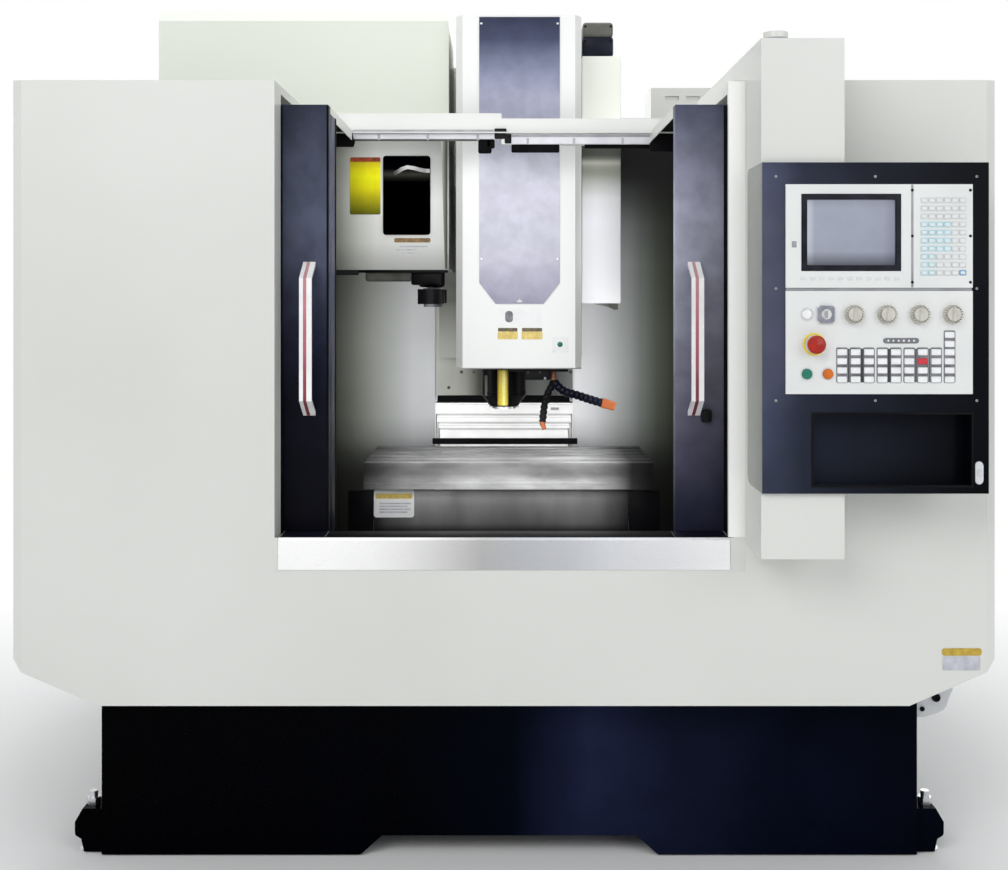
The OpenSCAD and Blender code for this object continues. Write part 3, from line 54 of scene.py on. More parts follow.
def point(x, d, z):
    """A place in millimetres as a point of the shared frame."""
    return Vector((x * MM, FRONT_Y + d * MM, z * MM))


def depth_of(y):
    """A y of the shared frame as millimetres behind the enclosure's front face."""
    return (y - FRONT_Y) / MM


# Shader nodes and finishes

def cleared(data):
    """The emptied node tree of a material or world."""
    data.use_nodes = True
    data.node_tree.nodes.clear()
    return data.node_tree


def fill(tree, target, inputs):
    """Set the inputs of a node, or link them where the value is another node's socket."""
    for key, value in inputs.items():
        if isinstance(value, bpy.types.NodeSocket):
            tree.links.new(value, target.inputs[key])
        else:
            target.inputs[key].default_value = value


def node(tree, kind, inputs, operation=None):
    """A new shader node with its inputs filled."""
    made = tree.nodes.new(kind)
    if operation:
        made.operation = operation
    fill(tree, made, inputs)
    return made


def new_material(name):
    """A material with one main shader: the material, its node tree and the shader."""
    mat = bpy.data.materials.new(name)
    tree = cleared(mat)
    shader = node(tree, "ShaderNodeBsdfPrincipled", {})
    node(tree, "ShaderNodeOutputMaterial", {0: shader.outputs[0]})
    return mat, tree, shader


def object_place(tree):
    return tree.nodes.new("ShaderNodeTexCoord").outputs["Object"]


def mapped(tree, stretch=(1, 1, 1)):
    return node(tree, "ShaderNodeMapping", {"Scale": stretch, "Vector": object_place(tree)}).outputs["Vector"]


def noise(tree, vector, scale, detail):
    inputs = {"Scale": scale, "Detail": detail, "Vector": vector}
    return node(tree, "ShaderNodeTexNoise", inputs).outputs["Fac"]


def ramp(tree, value, stops):
    made = node(tree, "ShaderNodeValToRGB", {"Fac": value})
    elements = made.color_ramp.elements
    while len(elements) < len(stops):
        elements.new(0.5)
    for element, (place, colour) in zip(elements, stops):
        element.position = place
        element.color = (*colour, 1)
    return made.outputs["Color"]


def spread(tree, value, low, high, start=0.3, end=0.7):
    inputs = {"From Min": start, "From Max": end, "To Min": low, "To Max": high, "Value": value}
    return node(tree, "ShaderNodeMapRange", inputs).outputs["Result"]


def mixed(tree, factor, a, b, kind="MIX"):
    made = tree.nodes.new("ShaderNodeMix")
    made.data_type = "RGBA"
    made.blend_type = kind
    fill(tree, made, {0: factor, 6: a, 7: (*b, 1) if isinstance(b, tuple) else b})
    return made.outputs[2]


def on_axis(tree, axis, low, high):
    """0 at one place in millimetres on an axis of the shared frame, 1 at another."""
    split = node(tree, "ShaderNodeSeparateXYZ", {0: object_place(tree)})
    return spread(tree, split.outputs[axis], 0.0, 1.0, low * MM, high * MM)


# The display curve: a straight part for the darkest levels, a power above it
DARKEST = 10
DARK_SLOPE = 3295


def tone(*levels):
    """Linear colour of 8-bit display levels: red, green and blue, or one level for a grey."""
    levels = levels * 3 if len(levels) == 1 else levels
    return tuple(((c / 255 + 0.055) / 1.055) ** 2.4 if c > DARKEST else c / DARK_SLOPE for c in levels)


def along(tree, axis, places):
    """A colour that changes along one axis: each row is a place in millimetres and its display levels."""
    low, high = places[0][0], places[-1][0]
    stops = [((place - low) / (high - low), tone(*levels)) for place, *levels in places]
    return ramp(tree, on_axis(tree, axis, low, high), stops)


def painted(tree, shader, colour, grained, grain, rough, bump, depth, values):
    """The colour, plain values, and fine grain in gloss and relief of a finish."""
    fine = noise(tree, grained, grain, 3.0)
    raised = node(tree, "ShaderNodeBump", {"Strength": bump, "Distance": depth, "Height": fine})
    fill(tree, shader, {"Base Color": colour, "Roughness": spread(tree, fine, *rough),
                        "Normal": raised.outputs["Normal"], **values})


FINE_DEPTH = 0.0002
CAST_DEPTH = 0.0008
COAT_ROUGHNESS = 0.12


def surface(name, low, high, rough, grain, bump, patch, metallic=0.0, coat=0.0, specular=0.5,
            stretch=(1, 1, 1), depth=FINE_DEPTH, detail=3.0, fleck=None):
    """A finish that drifts between two colours over patches, with fleck = (scale, colour, share)."""
    mat, tree, shader = new_material(name)
    grained = mapped(tree, stretch)
    colour = ramp(tree, noise(tree, mapped(tree), patch, detail), [(0.36, low), (0.64, high)])
    if fleck:
        scale, dot_colour, share = fleck
        dots = spread(tree, noise(tree, grained, scale, 2.0), 0.0, share, 0.5, 0.72)
        colour = mixed(tree, dots, colour, dot_colour)
    painted(tree, shader, colour, grained, grain, rough, bump, depth, {
        "Metallic": metallic, "Specular IOR Level": specular,
        "Coat Weight": coat, "Coat Roughness": COAT_ROUGHNESS})
    return mat


def graded(name, rough, specular, grain, bump, cloud, fields, metallic=0.0, stretch=(1, 1, 1),
           depth=FINE_DEPTH, over=None):
    """A finish whose tone runs along one axis or two, with soft clouds = (scale, darkest) and a fine grain.

    With over = (axis, place, colour) the finish has that one colour beyond the place on the axis.
    """
    mat, tree, shader = new_material(name)
    grained = mapped(tree, stretch)
    colour = along(tree, *fields[0])
    for field in fields[1:]:
        colour = mixed(tree, 1.0, colour, along(tree, *field), "MULTIPLY")
    scale, darkest = cloud
    soft = ramp(tree, noise(tree, grained, scale, 6.0), [(0.36, (darkest,) * 3), (0.64, (1, 1, 1))])
    colour = mixed(tree, 1.0, colour, soft, "MULTIPLY")
    if over:
        axis, place, beyond = over
        colour = mixed(tree, on_axis(tree, axis, place, place + 3), colour, beyond)
    painted(tree, shader, colour, grained, grain, rough, bump, depth,
            {"Metallic": metallic, "Specular IOR Level": specular})
    return mat


def glass(name, tint, rough):
    """Clear pane with a slight drift in its tint."""
    mat, tree, shader = new_material(name)
    vector = mapped(tree)
    low = tuple(c * 0.9 for c in tint)
    fill(tree, shader, {
        "Base Color": ramp(tree, noise(tree, vector, 6.0, 3.0), [(0.35, low), (0.65, tint)]),
        "Roughness": spread(tree, noise(tree, vector, 60.0, 2.0), rough * 0.6, rough),
        "Transmission Weight": 1.0, "IOR": 1.46})
    return mat


# Plain finishes: name, low colour, high colour, roughness, grain, bump, patch and other values
METAL = {"metallic": 1.0}
SPECKLED = {"detail": 5.0}
SATIN = {"coat": 0.05, "specular": 0.3}
DULL = {"specular": 0.2}
M = {row[0]: surface(*row[:7], **row[7]) for row in (
    ("white", (0.645, 0.657, 0.622), (0.69, 0.70, 0.668), (0.32, 0.42), 520, 0.05, 0.9, {"coat": 0.08}),
    ("bright_white", (0.85, 0.86, 0.845), (0.89, 0.90, 0.88), (0.34, 0.44), 520, 0.05, 0.9, {"coat": 0.05}),
    ("header_white", (0.69, 0.70, 0.68), (0.735, 0.745, 0.725), (0.34, 0.44), 520, 0.05, 0.9, {"coat": 0.05}),
    ("casting", (0.62, 0.64, 0.62), (0.69, 0.70, 0.68), (0.42, 0.6), 90, 0.35, 3.0, {"depth": CAST_DEPTH}),
    ("cover", (0.86, 0.86, 0.855), (1.0, 1.0, 0.99), (0.28, 0.42), 900, 0.08, 7.0,
     {"metallic": 0.12, "stretch": (0.03, 1, 1), "detail": 5.0, "fleck": (26.0, (0.58, 0.58, 0.60), 0.2)}),
    ("ground", (0.50, 0.51, 0.52), (0.64, 0.65, 0.66), (0.20, 0.34), 1200, 0.06, 9.0,
     {"metallic": 1.0, "stretch": (1, 0.05, 0.05)}),
    ("saddle", (0.085, 0.09, 0.095), (0.15, 0.155, 0.16), (0.45, 0.65), 110, 0.35, 5.0,
     {"metallic": 0.3, "depth": CAST_DEPTH, "detail": 6.0}),
    ("black", (0.002, 0.002, 0.003), (0.006, 0.006, 0.007), (0.30, 0.46), 300, 0.12, 6.0, {"specular": 0.08}),
    ("pan", (0.22, 0.225, 0.23), (0.34, 0.345, 0.35), (0.35, 0.55), 260, 0.15, 5.0,
     {"metallic": 0.8, "detail": 6.0, "fleck": (70.0, (0.12, 0.125, 0.13), 0.5)}),
    ("zinc", (0.52, 0.53, 0.55), (0.66, 0.67, 0.69), (0.22, 0.38), 700, 0.10, 30.0, METAL),
    ("aluminium", (0.50, 0.51, 0.53), (0.62, 0.63, 0.65), (0.28, 0.42), 800, 0.08, 12.0, METAL),
    ("chrome", (0.84, 0.83, 0.84), (0.93, 0.92, 0.93), (0.14, 0.28), 240, 0.08, 12.0,
     {"metallic": 0.1, "stretch": (1, 1, 0.15)}),
    ("dark_steel", (0.035, 0.037, 0.040), (0.075, 0.078, 0.082), (0.36, 0.55), 300, 0.12, 6.0,
     {"metallic": 0.5, "detail": 6.0}),
    ("unit", (0.70, 0.72, 0.71), (0.76, 0.775, 0.765), (0.42, 0.55), 1500, 0.12, 4.0, {}),
    ("black_plastic", (0.004, 0.004, 0.005), (0.009, 0.009, 0.011), (0.40, 0.58), 1400, 0.15, 10.0,
     {"specular": 0.12}),
    ("rubber", (0.002, 0.002, 0.0025), (0.005, 0.005, 0.006), (0.62, 0.78), 900, 0.2, 12.0,
     {"specular": 0.05}),
    ("red", (0.34, 0.010, 0.003), (0.42, 0.014, 0.004), (0.24, 0.34), 900, 0.05, 30.0,
     {"coat": 0.1, "specular": 0.3}),
    ("green", (0.008, 0.15, 0.10), (0.014, 0.20, 0.13), (0.30, 0.42), 900, 0.05, 40.0, SATIN),
    ("orange", (0.54, 0.11, 0.006), (0.64, 0.15, 0.010), (0.30, 0.42), 900, 0.05, 40.0, SATIN),
    ("knob", (0.50, 0.49, 0.44), (0.60, 0.585, 0.53), (0.38, 0.52), 1300, 0.12, 20.0, {}),
    ("yellow", (0.80, 0.62, 0.02), (0.90, 0.74, 0.05), (0.30, 0.42), 700, 0.06, 14.0, {}),
    ("copper", (0.22, 0.085, 0.035), (0.42, 0.17, 0.07), (0.30, 0.44), 600, 0.06, 60.0,
     {"stretch": (1, 1, 0.2), "coat": 0.2}),
    ("rail", (0.66, 0.66, 0.70), (0.76, 0.76, 0.80), (0.34, 0.46), 700, 0.05, 14.0, DULL),
    ("rail_grey", (0.36, 0.36, 0.39), (0.46, 0.46, 0.49), (0.34, 0.46), 700, 0.05, 20.0, DULL),
    ("umber_grey", (0.07, 0.072, 0.062), (0.11, 0.112, 0.10), (0.5, 0.7), 500, 0.05, 12.0, {"specular": 0.1}),
    ("guard", (0.56, 0.575, 0.60), (0.64, 0.655, 0.68), (0.32, 0.46), 420, 0.08, 3.0, {}),
    ("brown_ochre", (0.15, 0.08, 0.022), (0.30, 0.18, 0.06), (0.34, 0.48), 600, 0.05, 50.0, SPECKLED),
    ("ochre", (0.42, 0.27, 0.03), (0.58, 0.42, 0.05), (0.34, 0.48), 600, 0.05, 60.0, SPECKLED),
    ("ochre_light", (0.62, 0.46, 0.10), (0.78, 0.62, 0.20), (0.34, 0.48), 600, 0.05, 60.0, SPECKLED),
    ("umber", (0.05, 0.036, 0.012), (0.15, 0.105, 0.03), (0.34, 0.48), 600, 0.05, 90.0, SPECKLED),
    ("brown", (0.13, 0.02, 0.006), (0.30, 0.05, 0.012), (0.34, 0.48), 600, 0.05, 60.0, DULL),
    ("paper", (0.80, 0.81, 0.81), (0.85, 0.86, 0.86), (0.40, 0.52), 700, 0.05, 30.0, {}),
    ("pale_print", (0.42, 0.43, 0.48), (0.58, 0.59, 0.64), (0.42, 0.55), 700, 0.05, 40.0, SPECKLED),
    ("shade", (0.30, 0.31, 0.30), (0.38, 0.39, 0.38), (0.40, 0.55), 500, 0.06, 8.0, {}),
    ("navy_plastic", (0.003, 0.004, 0.012), (0.009, 0.011, 0.026), (0.32, 0.46), 900, 0.12, 14.0,
     {"specular": 0.15}),
    ("olive_plastic", (0.075, 0.075, 0.062), (0.11, 0.11, 0.092), (0.38, 0.52), 900, 0.12, 14.0, {}),
    ("side_grey", (0.19, 0.20, 0.185), (0.26, 0.27, 0.25), (0.26, 0.40), 360, 0.06, 2.0, {"coat": 0.2}),
    ("seam_grey", (0.26, 0.265, 0.28), (0.34, 0.345, 0.36), (0.36, 0.50), 700, 0.06, 20.0, {}),
    ("strip_grey", (0.10, 0.10, 0.115), (0.20, 0.20, 0.225), (0.34, 0.50), 700, 0.06, 34.0, {"detail": 4.0}),
    ("switch_grey", (0.20, 0.20, 0.25), (0.30, 0.30, 0.36), (0.30, 0.44), 700, 0.06, 50.0, {}),
    ("screen_black", (0.006, 0.007, 0.012), (0.014, 0.015, 0.024), (0.16, 0.28), 900, 0.05, 20.0,
     {"specular": 0.1}),
    ("key_grey", (0.58, 0.59, 0.61), (0.66, 0.67, 0.69), (0.40, 0.54), 1200, 0.08, 60.0, {}),
    ("key_pale", (0.64, 0.65, 0.66), (0.70, 0.71, 0.72), (0.40, 0.54), 1200, 0.08, 60.0, {}),
    ("key_white", (0.78, 0.79, 0.80), (0.86, 0.87, 0.88), (0.34, 0.46), 1200, 0.06, 60.0, {}),
    ("key_blue", (0.34, 0.60, 0.68), (0.44, 0.70, 0.78), (0.38, 0.52), 1200, 0.08, 60.0, {}),
    ("key_royal", (0.07, 0.26, 0.48), (0.10, 0.34, 0.58), (0.36, 0.50), 1200, 0.08, 60.0, {}),
    ("key_red", (0.50, 0.02, 0.035), (0.62, 0.03, 0.05), (0.34, 0.48), 1200, 0.06, 60.0, {}))}
M["pane"] = glass("pane", (0.80, 0.86, 0.86), 0.04)

# Graded finishes: name, roughness, specular level, grain, bump, clouds, the tones along each axis and other
# values. Many of these tones are painted light and shade; the comments above the rows say which.
# The doors' back faces get one plain colour, without the painted reflection on their fronts.
DOOR_BACK_FACE = ("Y", FRONT_Y / MM + 156, tone(216, 218, 212))
DOOR_PAINT = {"depth": 0.0003, "over": DOOR_BACK_FACE}
M.update({row[0]: graded(*row[:7], **row[7]) for row in (
    # Rear guards: painted shade, darker towards both sides, near black at the top and darker at the bottom;
    # one plain colour on their back faces.
    ("inner", (0.38, 0.52), 0.15, 420, 0.08, (2.0, 0.90), [
        ("X", [(-680, 46, 49, 41), (-600, 98, 102, 94), (-520, 142, 145, 139), (-440, 172, 175, 173),
               (-360, 200, 202, 204), (-290, 205, 207, 210), (290, 252, 252, 255), (350, 228, 229, 232),
               (400, 196, 198, 200), (449, 164, 167, 166), (490, 142, 145, 144), (535, 106, 110, 106),
               (600, 66, 70, 62), (680, 30, 33, 22)]),
        ("Z", [(880, 120), (960, 165), (1026, 220), (1100, 248), (1250, 255), (1700, 255), (1850, 215),
               (1950, 140), (2040, 50), (2100, 12), (2150, 8)])],
     {"over": ("Y", FRONT_Y / MM + 1600, (0.66, 0.67, 0.64))}),
    # Guard liners: painted shade, darkest next to the opening and darker towards the bottom.
    ("liner", (0.38, 0.52), 0.15, 420, 0.08, (2.0, 0.92), [
        ("X", [(-1330, 186, 188, 186), (-980, 160, 162, 159), (-800, 70, 73, 66), (-700, 24, 26, 20),
               (700, 12, 14, 10), (800, 50, 53, 46), (980, 130, 133, 130), (1330, 172, 174, 172)]),
        ("Z", [(480, 150), (900, 225), (1200, 255), (2160, 255)])], {}),
    # Jamb strip: painted light, whiter than the white paint, a little darker towards the pod.
    ("jamb", (0.32, 0.42), 0.4, 520, 0.05, (1.0, 0.99), [
        ("X", [(617, 255, 255, 253), (634, 252, 252, 250), (651, 236, 237, 233)])], {}),
    # Column cover: painted shade, dark in the middle behind the spindle.
    ("back_plate", (0.38, 0.52), 0.15, 420, 0.08, (6.0, 0.88), [
        ("X", [(-285, 240, 242, 240), (-240, 236, 238, 235), (-110, 112, 115, 110), (110, 104, 107, 102),
               (200, 136, 138, 136), (285, 188, 189, 192)])], {}),
    # Head apron: painted shade, dark in the middle behind the spindle.
    ("apron_plate", (0.38, 0.52), 0.15, 420, 0.08, (6.0, 0.90), [
        ("X", [(-285, 182, 184, 180), (-190, 176, 178, 168), (-150, 158, 160, 150), (-100, 80, 82, 74),
               (-60, 40, 42, 38), (30, 40, 42, 40), (85, 92, 94, 92), (150, 112, 114, 112),
               (200, 86, 86, 86), (285, 130, 132, 132)])], {}),
    ("head_casting", (0.42, 0.6), 0.15, 90, 0.35, (3.0, 0.94), [
        ("Z", [(1340, 160, 162, 155), (1400, 150, 151, 145), (1460, 138, 138, 132), (1510, 126, 126, 119),
               (1560, 104, 106, 98), (1620, 120, 122, 116), (1800, 190, 192, 188)])], {"depth": CAST_DEPTH}),
    # Magazine cover: painted shade, darker towards its left, its bottom and just under the header; one plain
    # colour above the header.
    ("magazine", (0.32, 0.42), 0.3, 520, 0.08, (0.9, 0.97), [
        ("X", [(-620, 92, 94, 86), (-563, 142, 144, 136), (-501, 205, 207, 200), (-440, 235, 236, 231),
               (-330, 234, 235, 231), (-240, 224, 226, 222), (-193, 214, 216, 210)]),
        ("Z", [(1640, 185), (1700, 215), (1760, 248), (1900, 255), (2050, 220), (2085, 188), (2112, 172)])],
     {"over": ("Z", 2112, tone(224, 228, 217))}),
    # Base casting: near black, with a painted bluish reflection right of the middle.
    ("bed", (0.24, 0.36), 0.02, 150, 0.10, (2.4, 0.45), [
        ("X", [(-1150, 0, 0, 2), (-300, 0, 1, 7), (30, 2, 7, 20), (240, 30, 36, 64), (480, 18, 24, 44),
               (800, 6, 12, 30), (1165, 3, 6, 18)])], {"depth": 0.0003}),
    # Left door: painted reflection, near black at the bottom and lightest a little below the top.
    ("navy_left", (0.30, 0.44), 0.06, 260, 0.12, (16.0, 0.72), [
        ("Z", [(874, 3, 3, 12), (1040, 5, 6, 16), (1260, 12, 13, 25), (1343, 18, 22, 36), (1427, 27, 31, 48),
               (1510, 44, 48, 66), (1594, 58, 62, 80), (1677, 74, 78, 97), (1845, 82, 88, 107),
               (1980, 72, 77, 95), (2107, 55, 60, 77)])], DOOR_PAINT),
    # The same painted reflection, weaker, for the left door's return face and the sill liners.
    ("navy_left_plain", (0.30, 0.44), 0.06, 260, 0.12, (16.0, 0.8), [
        ("Z", [(874, 8, 9, 22), (1260, 30, 32, 48), (1510, 54, 58, 76), (1845, 88, 92, 112),
               (2107, 70, 75, 92)])], {"depth": 0.0003}),
    # Right door: painted reflection, lightest just above the middle, darker towards the bottom, the top and
    # its right end.
    ("navy_right", (0.30, 0.44), 0.06, 260, 0.12, (16.0, 0.78), [
        ("Z", [(874, 28, 29, 47), (1009, 42, 43, 62), (1176, 72, 71, 88), (1343, 104, 103, 118),
               (1594, 138, 139, 154), (1761, 158, 158, 176), (1845, 153, 153, 172), (1928, 138, 139, 158),
               (2107, 86, 90, 110)]),
        ("X", [(470, 255), (540, 247), (612, 226), (640, 205)])], DOOR_PAINT),
    # Pod console: painted light and shade, lighter towards its left edge and darker towards the bottom.
    ("console", (0.20, 0.32), 0.04, 380, 0.06, (5.0, 0.7), [
        ("Z", [(1080, 60, 66, 84), (1250, 68, 75, 96), (1400, 80, 84, 104), (1700, 86, 89, 108),
               (1910, 76, 82, 104)]),
        ("X", [(656, 255), (700, 235), (760, 184), (900, 136), (1000, 116), (1120, 84), (1200, 62)])], {}),
    # Head panel: painted shade, pale in the middle, darkening to navy towards the top and a little towards
    # the bottom.
    ("panel", (0.28, 0.42), 0.1, 300, 0.1, (20.0, 0.86), [
        ("Z", [(1550, 160, 159, 178), (1630, 184, 182, 200), (1697, 204, 203, 218), (1765, 211, 211, 225),
               (1899, 215, 214, 229), (2033, 214, 214, 228), (2110, 196, 198, 216), (2234, 176, 178, 200),
               (2301, 152, 156, 181), (2369, 122, 127, 153), (2436, 76, 81, 108), (2520, 52, 56, 78)])], {}),
    # Door sill: painted reflection, bright at both ends and darkest near the middle.
    ("stainless", (0.26, 0.42), 0.4, 900, 0.10, (5.0, 0.93), [
        ("X", [(-620, 250), (-470, 249), (-360, 243), (-250, 226), (-146, 203), (-60, 180),
               (30, 182, 184, 188), (180, 193, 195, 200), (290, 210, 212, 216), (450, 220, 221, 224),
               (620, 240, 241, 242)])], {"metallic": 0.75, "stretch": (0.03, 1, 1)}),
    # Table: painted shade, dark at both ends and lightest right of the middle, with a darker band across its
    # face.
    ("table", (0.34, 0.56), 0.3, 500, 0.18, (11.0, 0.46), [
        ("X", [(-505, 44), (-479, 86), (-358, 176), (-234, 192), (-114, 212), (10, 210), (134, 240),
               (255, 250), (379, 168), (440, 60), (503, 8)]),
        ("Z", [(925, 255), (942, 250), (962, 196), (990, 186), (1000, 205)])],
     {"metallic": 0.15, "stretch": (0.35, 1, 1)}),
    # Saddle apron: painted shade, dark at both ends and towards the bottom.
    ("apron", (0.38, 0.58), 0.2, 420, 0.12, (7.0, 0.66), [
        ("X", [(-500, 10), (-440, 70), (-400, 130), (-300, 176), (-100, 158), (60, 150), (200, 174),
               (330, 166), (390, 120), (440, 20)]),
        ("Z", [(740, 50), (768, 90), (790, 170), (850, 215), (891, 255)])],
     {"metallic": 0.3, "stretch": (1, 1, 0.35)}),
    ("rose", (0.30, 0.42), 0.2, 500, 0.08, (20.0, 0.85), [
        ("Z", [(1244, 120, 58, 62), (1330, 140, 70, 78), (1450, 182, 104, 118), (1560, 196, 128, 138),
               (1672, 190, 150, 148)])], {}),
    ("tip", (0.28, 0.42), 0.3, 700, 0.06, (50.0, 0.85), [
        ("X", [(118, 138, 74, 42), (134, 184, 104, 62), (146, 150, 80, 44), (318, 196, 100, 54),
               (345, 232, 128, 74), (380, 240, 142, 88)])], {}),
    # Cable duct: painted shadow, darkening in a band under the header with a lighter line in it, and darker
    # towards the right; one plain colour above the header.
    ("duct", (0.34, 0.46), 0.2, 500, 0.08, (2.0, 0.96), [
        ("Z", [(1549, 226, 227, 230), (1850, 226, 227, 232), (1930, 216, 217, 220), (1975, 184, 186, 184),
               (2015, 140, 143, 133), (2030, 132, 135, 124), (2044, 140, 142, 132), (2058, 166, 167, 158),
               (2064, 150, 152, 142), (2074, 100, 103, 95), (2086, 64, 67, 60), (2125, 62, 65, 58),
               (2150, 250, 252, 243), (2450, 250, 252, 243)]),
        ("X", [(283, 255), (330, 250), (390, 222), (424, 206)])], {"over": ("Z", 2148, tone(250, 252, 243))}),
    # Yellow plate: painted shade, darker towards its bottom and its left.
    ("plate_yellow", (0.34, 0.46), 0.15, 600, 0.08, (24.0, 0.90), [
        ("Z", [(1856, 96, 96, 0), (1885, 150, 148, 0), (1915, 196, 188, 0), (1950, 238, 230, 0),
               (1985, 252, 250, 0), (2010, 250, 242, 6), (2032, 226, 208, 24), (2040, 200, 160, 30)]),
        ("X", [(-529, 196), (-500, 220), (-470, 242), (-430, 255)])], {}),
    # Magazine window: black, with a painted reflection in a faint grey band near its top.
    ("window_black", (0.10, 0.18), 0.0, 300, 0.02, (9.0, 0.4), [
        ("Z", [(1786, 0), (1968, 0), (1982, 30, 31, 27), (1994, 66, 67, 60), (2004, 40, 42, 38),
               (2012, 2, 3, 6), (2058, 0, 0, 4)])], {}),
    ("glint", (0.30, 0.42), 0.2, 500, 0.08, (30.0, 0.7), [
        ("X", [(-380, 60), (-366, 104), (-352, 196), (-336, 236), (-312, 226), (-290, 190), (-272, 170),
               (-252, 216)])], {}),
    # Spindle strip: gold, with a painted highlight running down its middle.
    ("gold_strip", (0.22, 0.36), 0.5, 500, 0.08, (40.0, 0.86), [
        ("X", [(-23, 170, 140, 30), (-16, 216, 184, 48), (-8, 232, 204, 60), (-5, 252, 240, 110),
               (2, 255, 250, 150), (5, 236, 212, 76), (15, 180, 152, 50)])],
     {"metallic": 0.1, "stretch": (1, 1, 0.3)}),
    ("edge_shade", (0.4, 0.5), 0.2, 500, 0.08, (3.0, 0.94), [
        ("X", [(-217, 205, 205, 200), (-209, 150, 151, 144), (-200, 84, 86, 76), (-192, 62, 64, 54)])], {}),
    ("gland_grey", (0.5, 0.7), 0.1, 500, 0.08, (20.0, 0.85), [
        ("X", [(314, 190, 188, 183), (370, 150, 148, 142), (410, 92, 92, 87), (462, 96, 98, 95)])], {}),
    # Screen glass: a painted reflection, pale grey, darker towards its right and its bottom.
    ("screen", (0.12, 0.2), 0.2, 300, 0.02, (14.0, 0.94), [
        ("X", [(767, 196, 199, 210), (776, 184, 188, 200), (786, 160, 165, 180), (960, 150, 155, 171),
               (990, 128, 132, 150)]),
        ("Z", [(1655, 150), (1672, 200), (1690, 250), (1800, 255), (1821, 235)])], {}))})

NODE_FINISH = {
    "white": ["front_panel_left", "front_panel_right", "roof_panels", "pod_housing", "electrical_cabinet",
              "cabinet_door", "cable_duct", "side_wall_left", "side_wall_right"],
    "inner": ["rear_guards"],
    "back_plate": ["column_cover"],
    "apron_plate": ["head_apron"],
    "bright_white": ["head_cover"],
    "header_white": ["header_rails"],
    "magazine": ["magazine_cover"],
    "casting": ["column_casting", "magazine_frame"],
    "head_casting": ["head_casting"],
    "panel": ["head_panel"],
    "bed": ["base_casting"],
    "navy_left": ["door_left"],
    "navy_right": ["door_right"],
    "console": ["pod_console"],
    "stainless": ["door_sill"],
    "cover": ["rear_cover_fixed", "rear_cover_outer", "rear_cover_middle", "rear_cover_inner",
              "front_way_cover"],
    "apron": ["saddle_apron"],
    "ground": ["guide_rails", "saddle_rails", "screw_x", "screw_y", "screw_z", "spindle", "key_rotor"],
    "dark_steel": ["changer_shaft"],
    "table": ["table"],
    "saddle": ["saddle"],
    "black": ["spindle_motor", "spindle_housing", "changer_arm"],
    "black_plastic": ["coolant_hoses"],
    "pan": ["chip_pan"],
    "zinc": ["levelling_bolts"],
    "pane": ["door_window_left", "door_window_right"],
    "chrome": ["door_handle_left", "door_handle_right"],
    "unit": ["display_unit", "operator_unit"],
    "aluminium": ["magazine_disc"],
    "red": ["estop_button"],
    "green": ["start_button"],
    "orange": ["stop_button"],
    "knob": ["knob_1", "knob_2", "knob_3", "knob_4"],
}
for finish, names in NODE_FINISH.items():
    for name in names:
        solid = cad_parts[name]
        if not solid.material_slots:
            solid.data.materials.append(M[finish])
        for place in solid.material_slots:
            place.material = M[finish]


# Makers of parts: each returns a mesh that a piece takes in. The distance is in metres, the angle in degrees

MERGE_DISTANCE = 1e-6
SHARP_ANGLE = 35


def join(bm, part):
    """Add one mesh to another and free it."""
    mesh = bpy.data.meshes.new("part")
    part.to_mesh(mesh)
    part.free()
    bm.from_mesh(mesh)
    bpy.data.meshes.remove(mesh)


def piece(name, finish, body, slot, *parts):
    """A mesh piece on a body, made of parts that are each a maker and its values."""
    bm = bmesh.new()
    for maker, *values in parts:
        join(bm, maker(*values))
    bmesh.ops.recalc_face_normals(bm, faces=bm.faces)
    mesh = bpy.data.meshes.new(name)
    bm.to_mesh(mesh)
    bm.free()
    mesh.materials.append(M[finish])
    for polygon in mesh.polygons:
        polygon.use_smooth = True
    mesh.set_sharp_from_angle(angle=math.radians(SHARP_ANGLE))
    obj = bpy.data.objects.new(name, mesh)
    bpy.context.scene.collection.objects.link(obj)
    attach(obj, body)
    return obj


def pieces(maker, rows):
    """Pieces of one part each: name, finish, body, slot and the maker's values."""
    for name, finish, body, slot, *values in rows:
        piece(name, finish, body, slot, (maker, *values))


def box(x, d, z, edge=0.0, steps=2):
    """A box between two x, two d and two z, its edges rounded."""
    part = bmesh.new()
    bmesh.ops.create_cube(part, size=1.0)
    low, high = point(x[0], d[0], z[0]), point(x[1], d[1], z[1])
    size = high - low
    for v in part.verts:
        v.co = Vector([low[i] + (v.co[i] + 0.5) * size[i] for i in range(3)])
    if edge:
        bmesh.ops.bevel(part, geom=part.edges[:], offset=edge * MM, segments=steps, affect="EDGES",
                        profile=0.5, clamp_overlap=True)
    return part


def loft(rows, ends=(), around=False, edge=0.0, front=1):
    """Rings of points joined in turn.

    ends lists the rings that get a face, around joins the last ring to the first, and edge cuts back the
    edges that lie within the first rings, as many as front says.
    """
    part = bmesh.new()
    rings = [[part.verts.new(place) for place in row] for row in rows]
    for i in ends:
        part.faces.new(rings[i])
    for a, b in zip(rings, rings[1:] + rings[:around]):
        for i in range(len(a)):
            j = (i + 1) % len(a)
            part.faces.new((a[i], a[j], b[j], b[i]))
    if edge:
        forward = set(sum(rings[:front], []))
        bmesh.ops.bevel(part, geom=[e for e in part.edges if forward.issuperset(e.verts)], offset=edge * MM,
                        segments=2, affect="EDGES", clamp_overlap=True)
    return part


def outline(ring, d, thick, edge=0.0):
    """An outline in x and z, extruded backwards from depth d."""
    return loft([[point(x, depth, z) for x, z in ring] for depth in (d, d + thick)], (0, 1), edge=edge)


def across(ring, x0, x1):
    """An outline in d and z, extruded along x."""
    return loft([[point(x, d, z) for d, z in ring] for x in (x0, x1)], (0, 1))


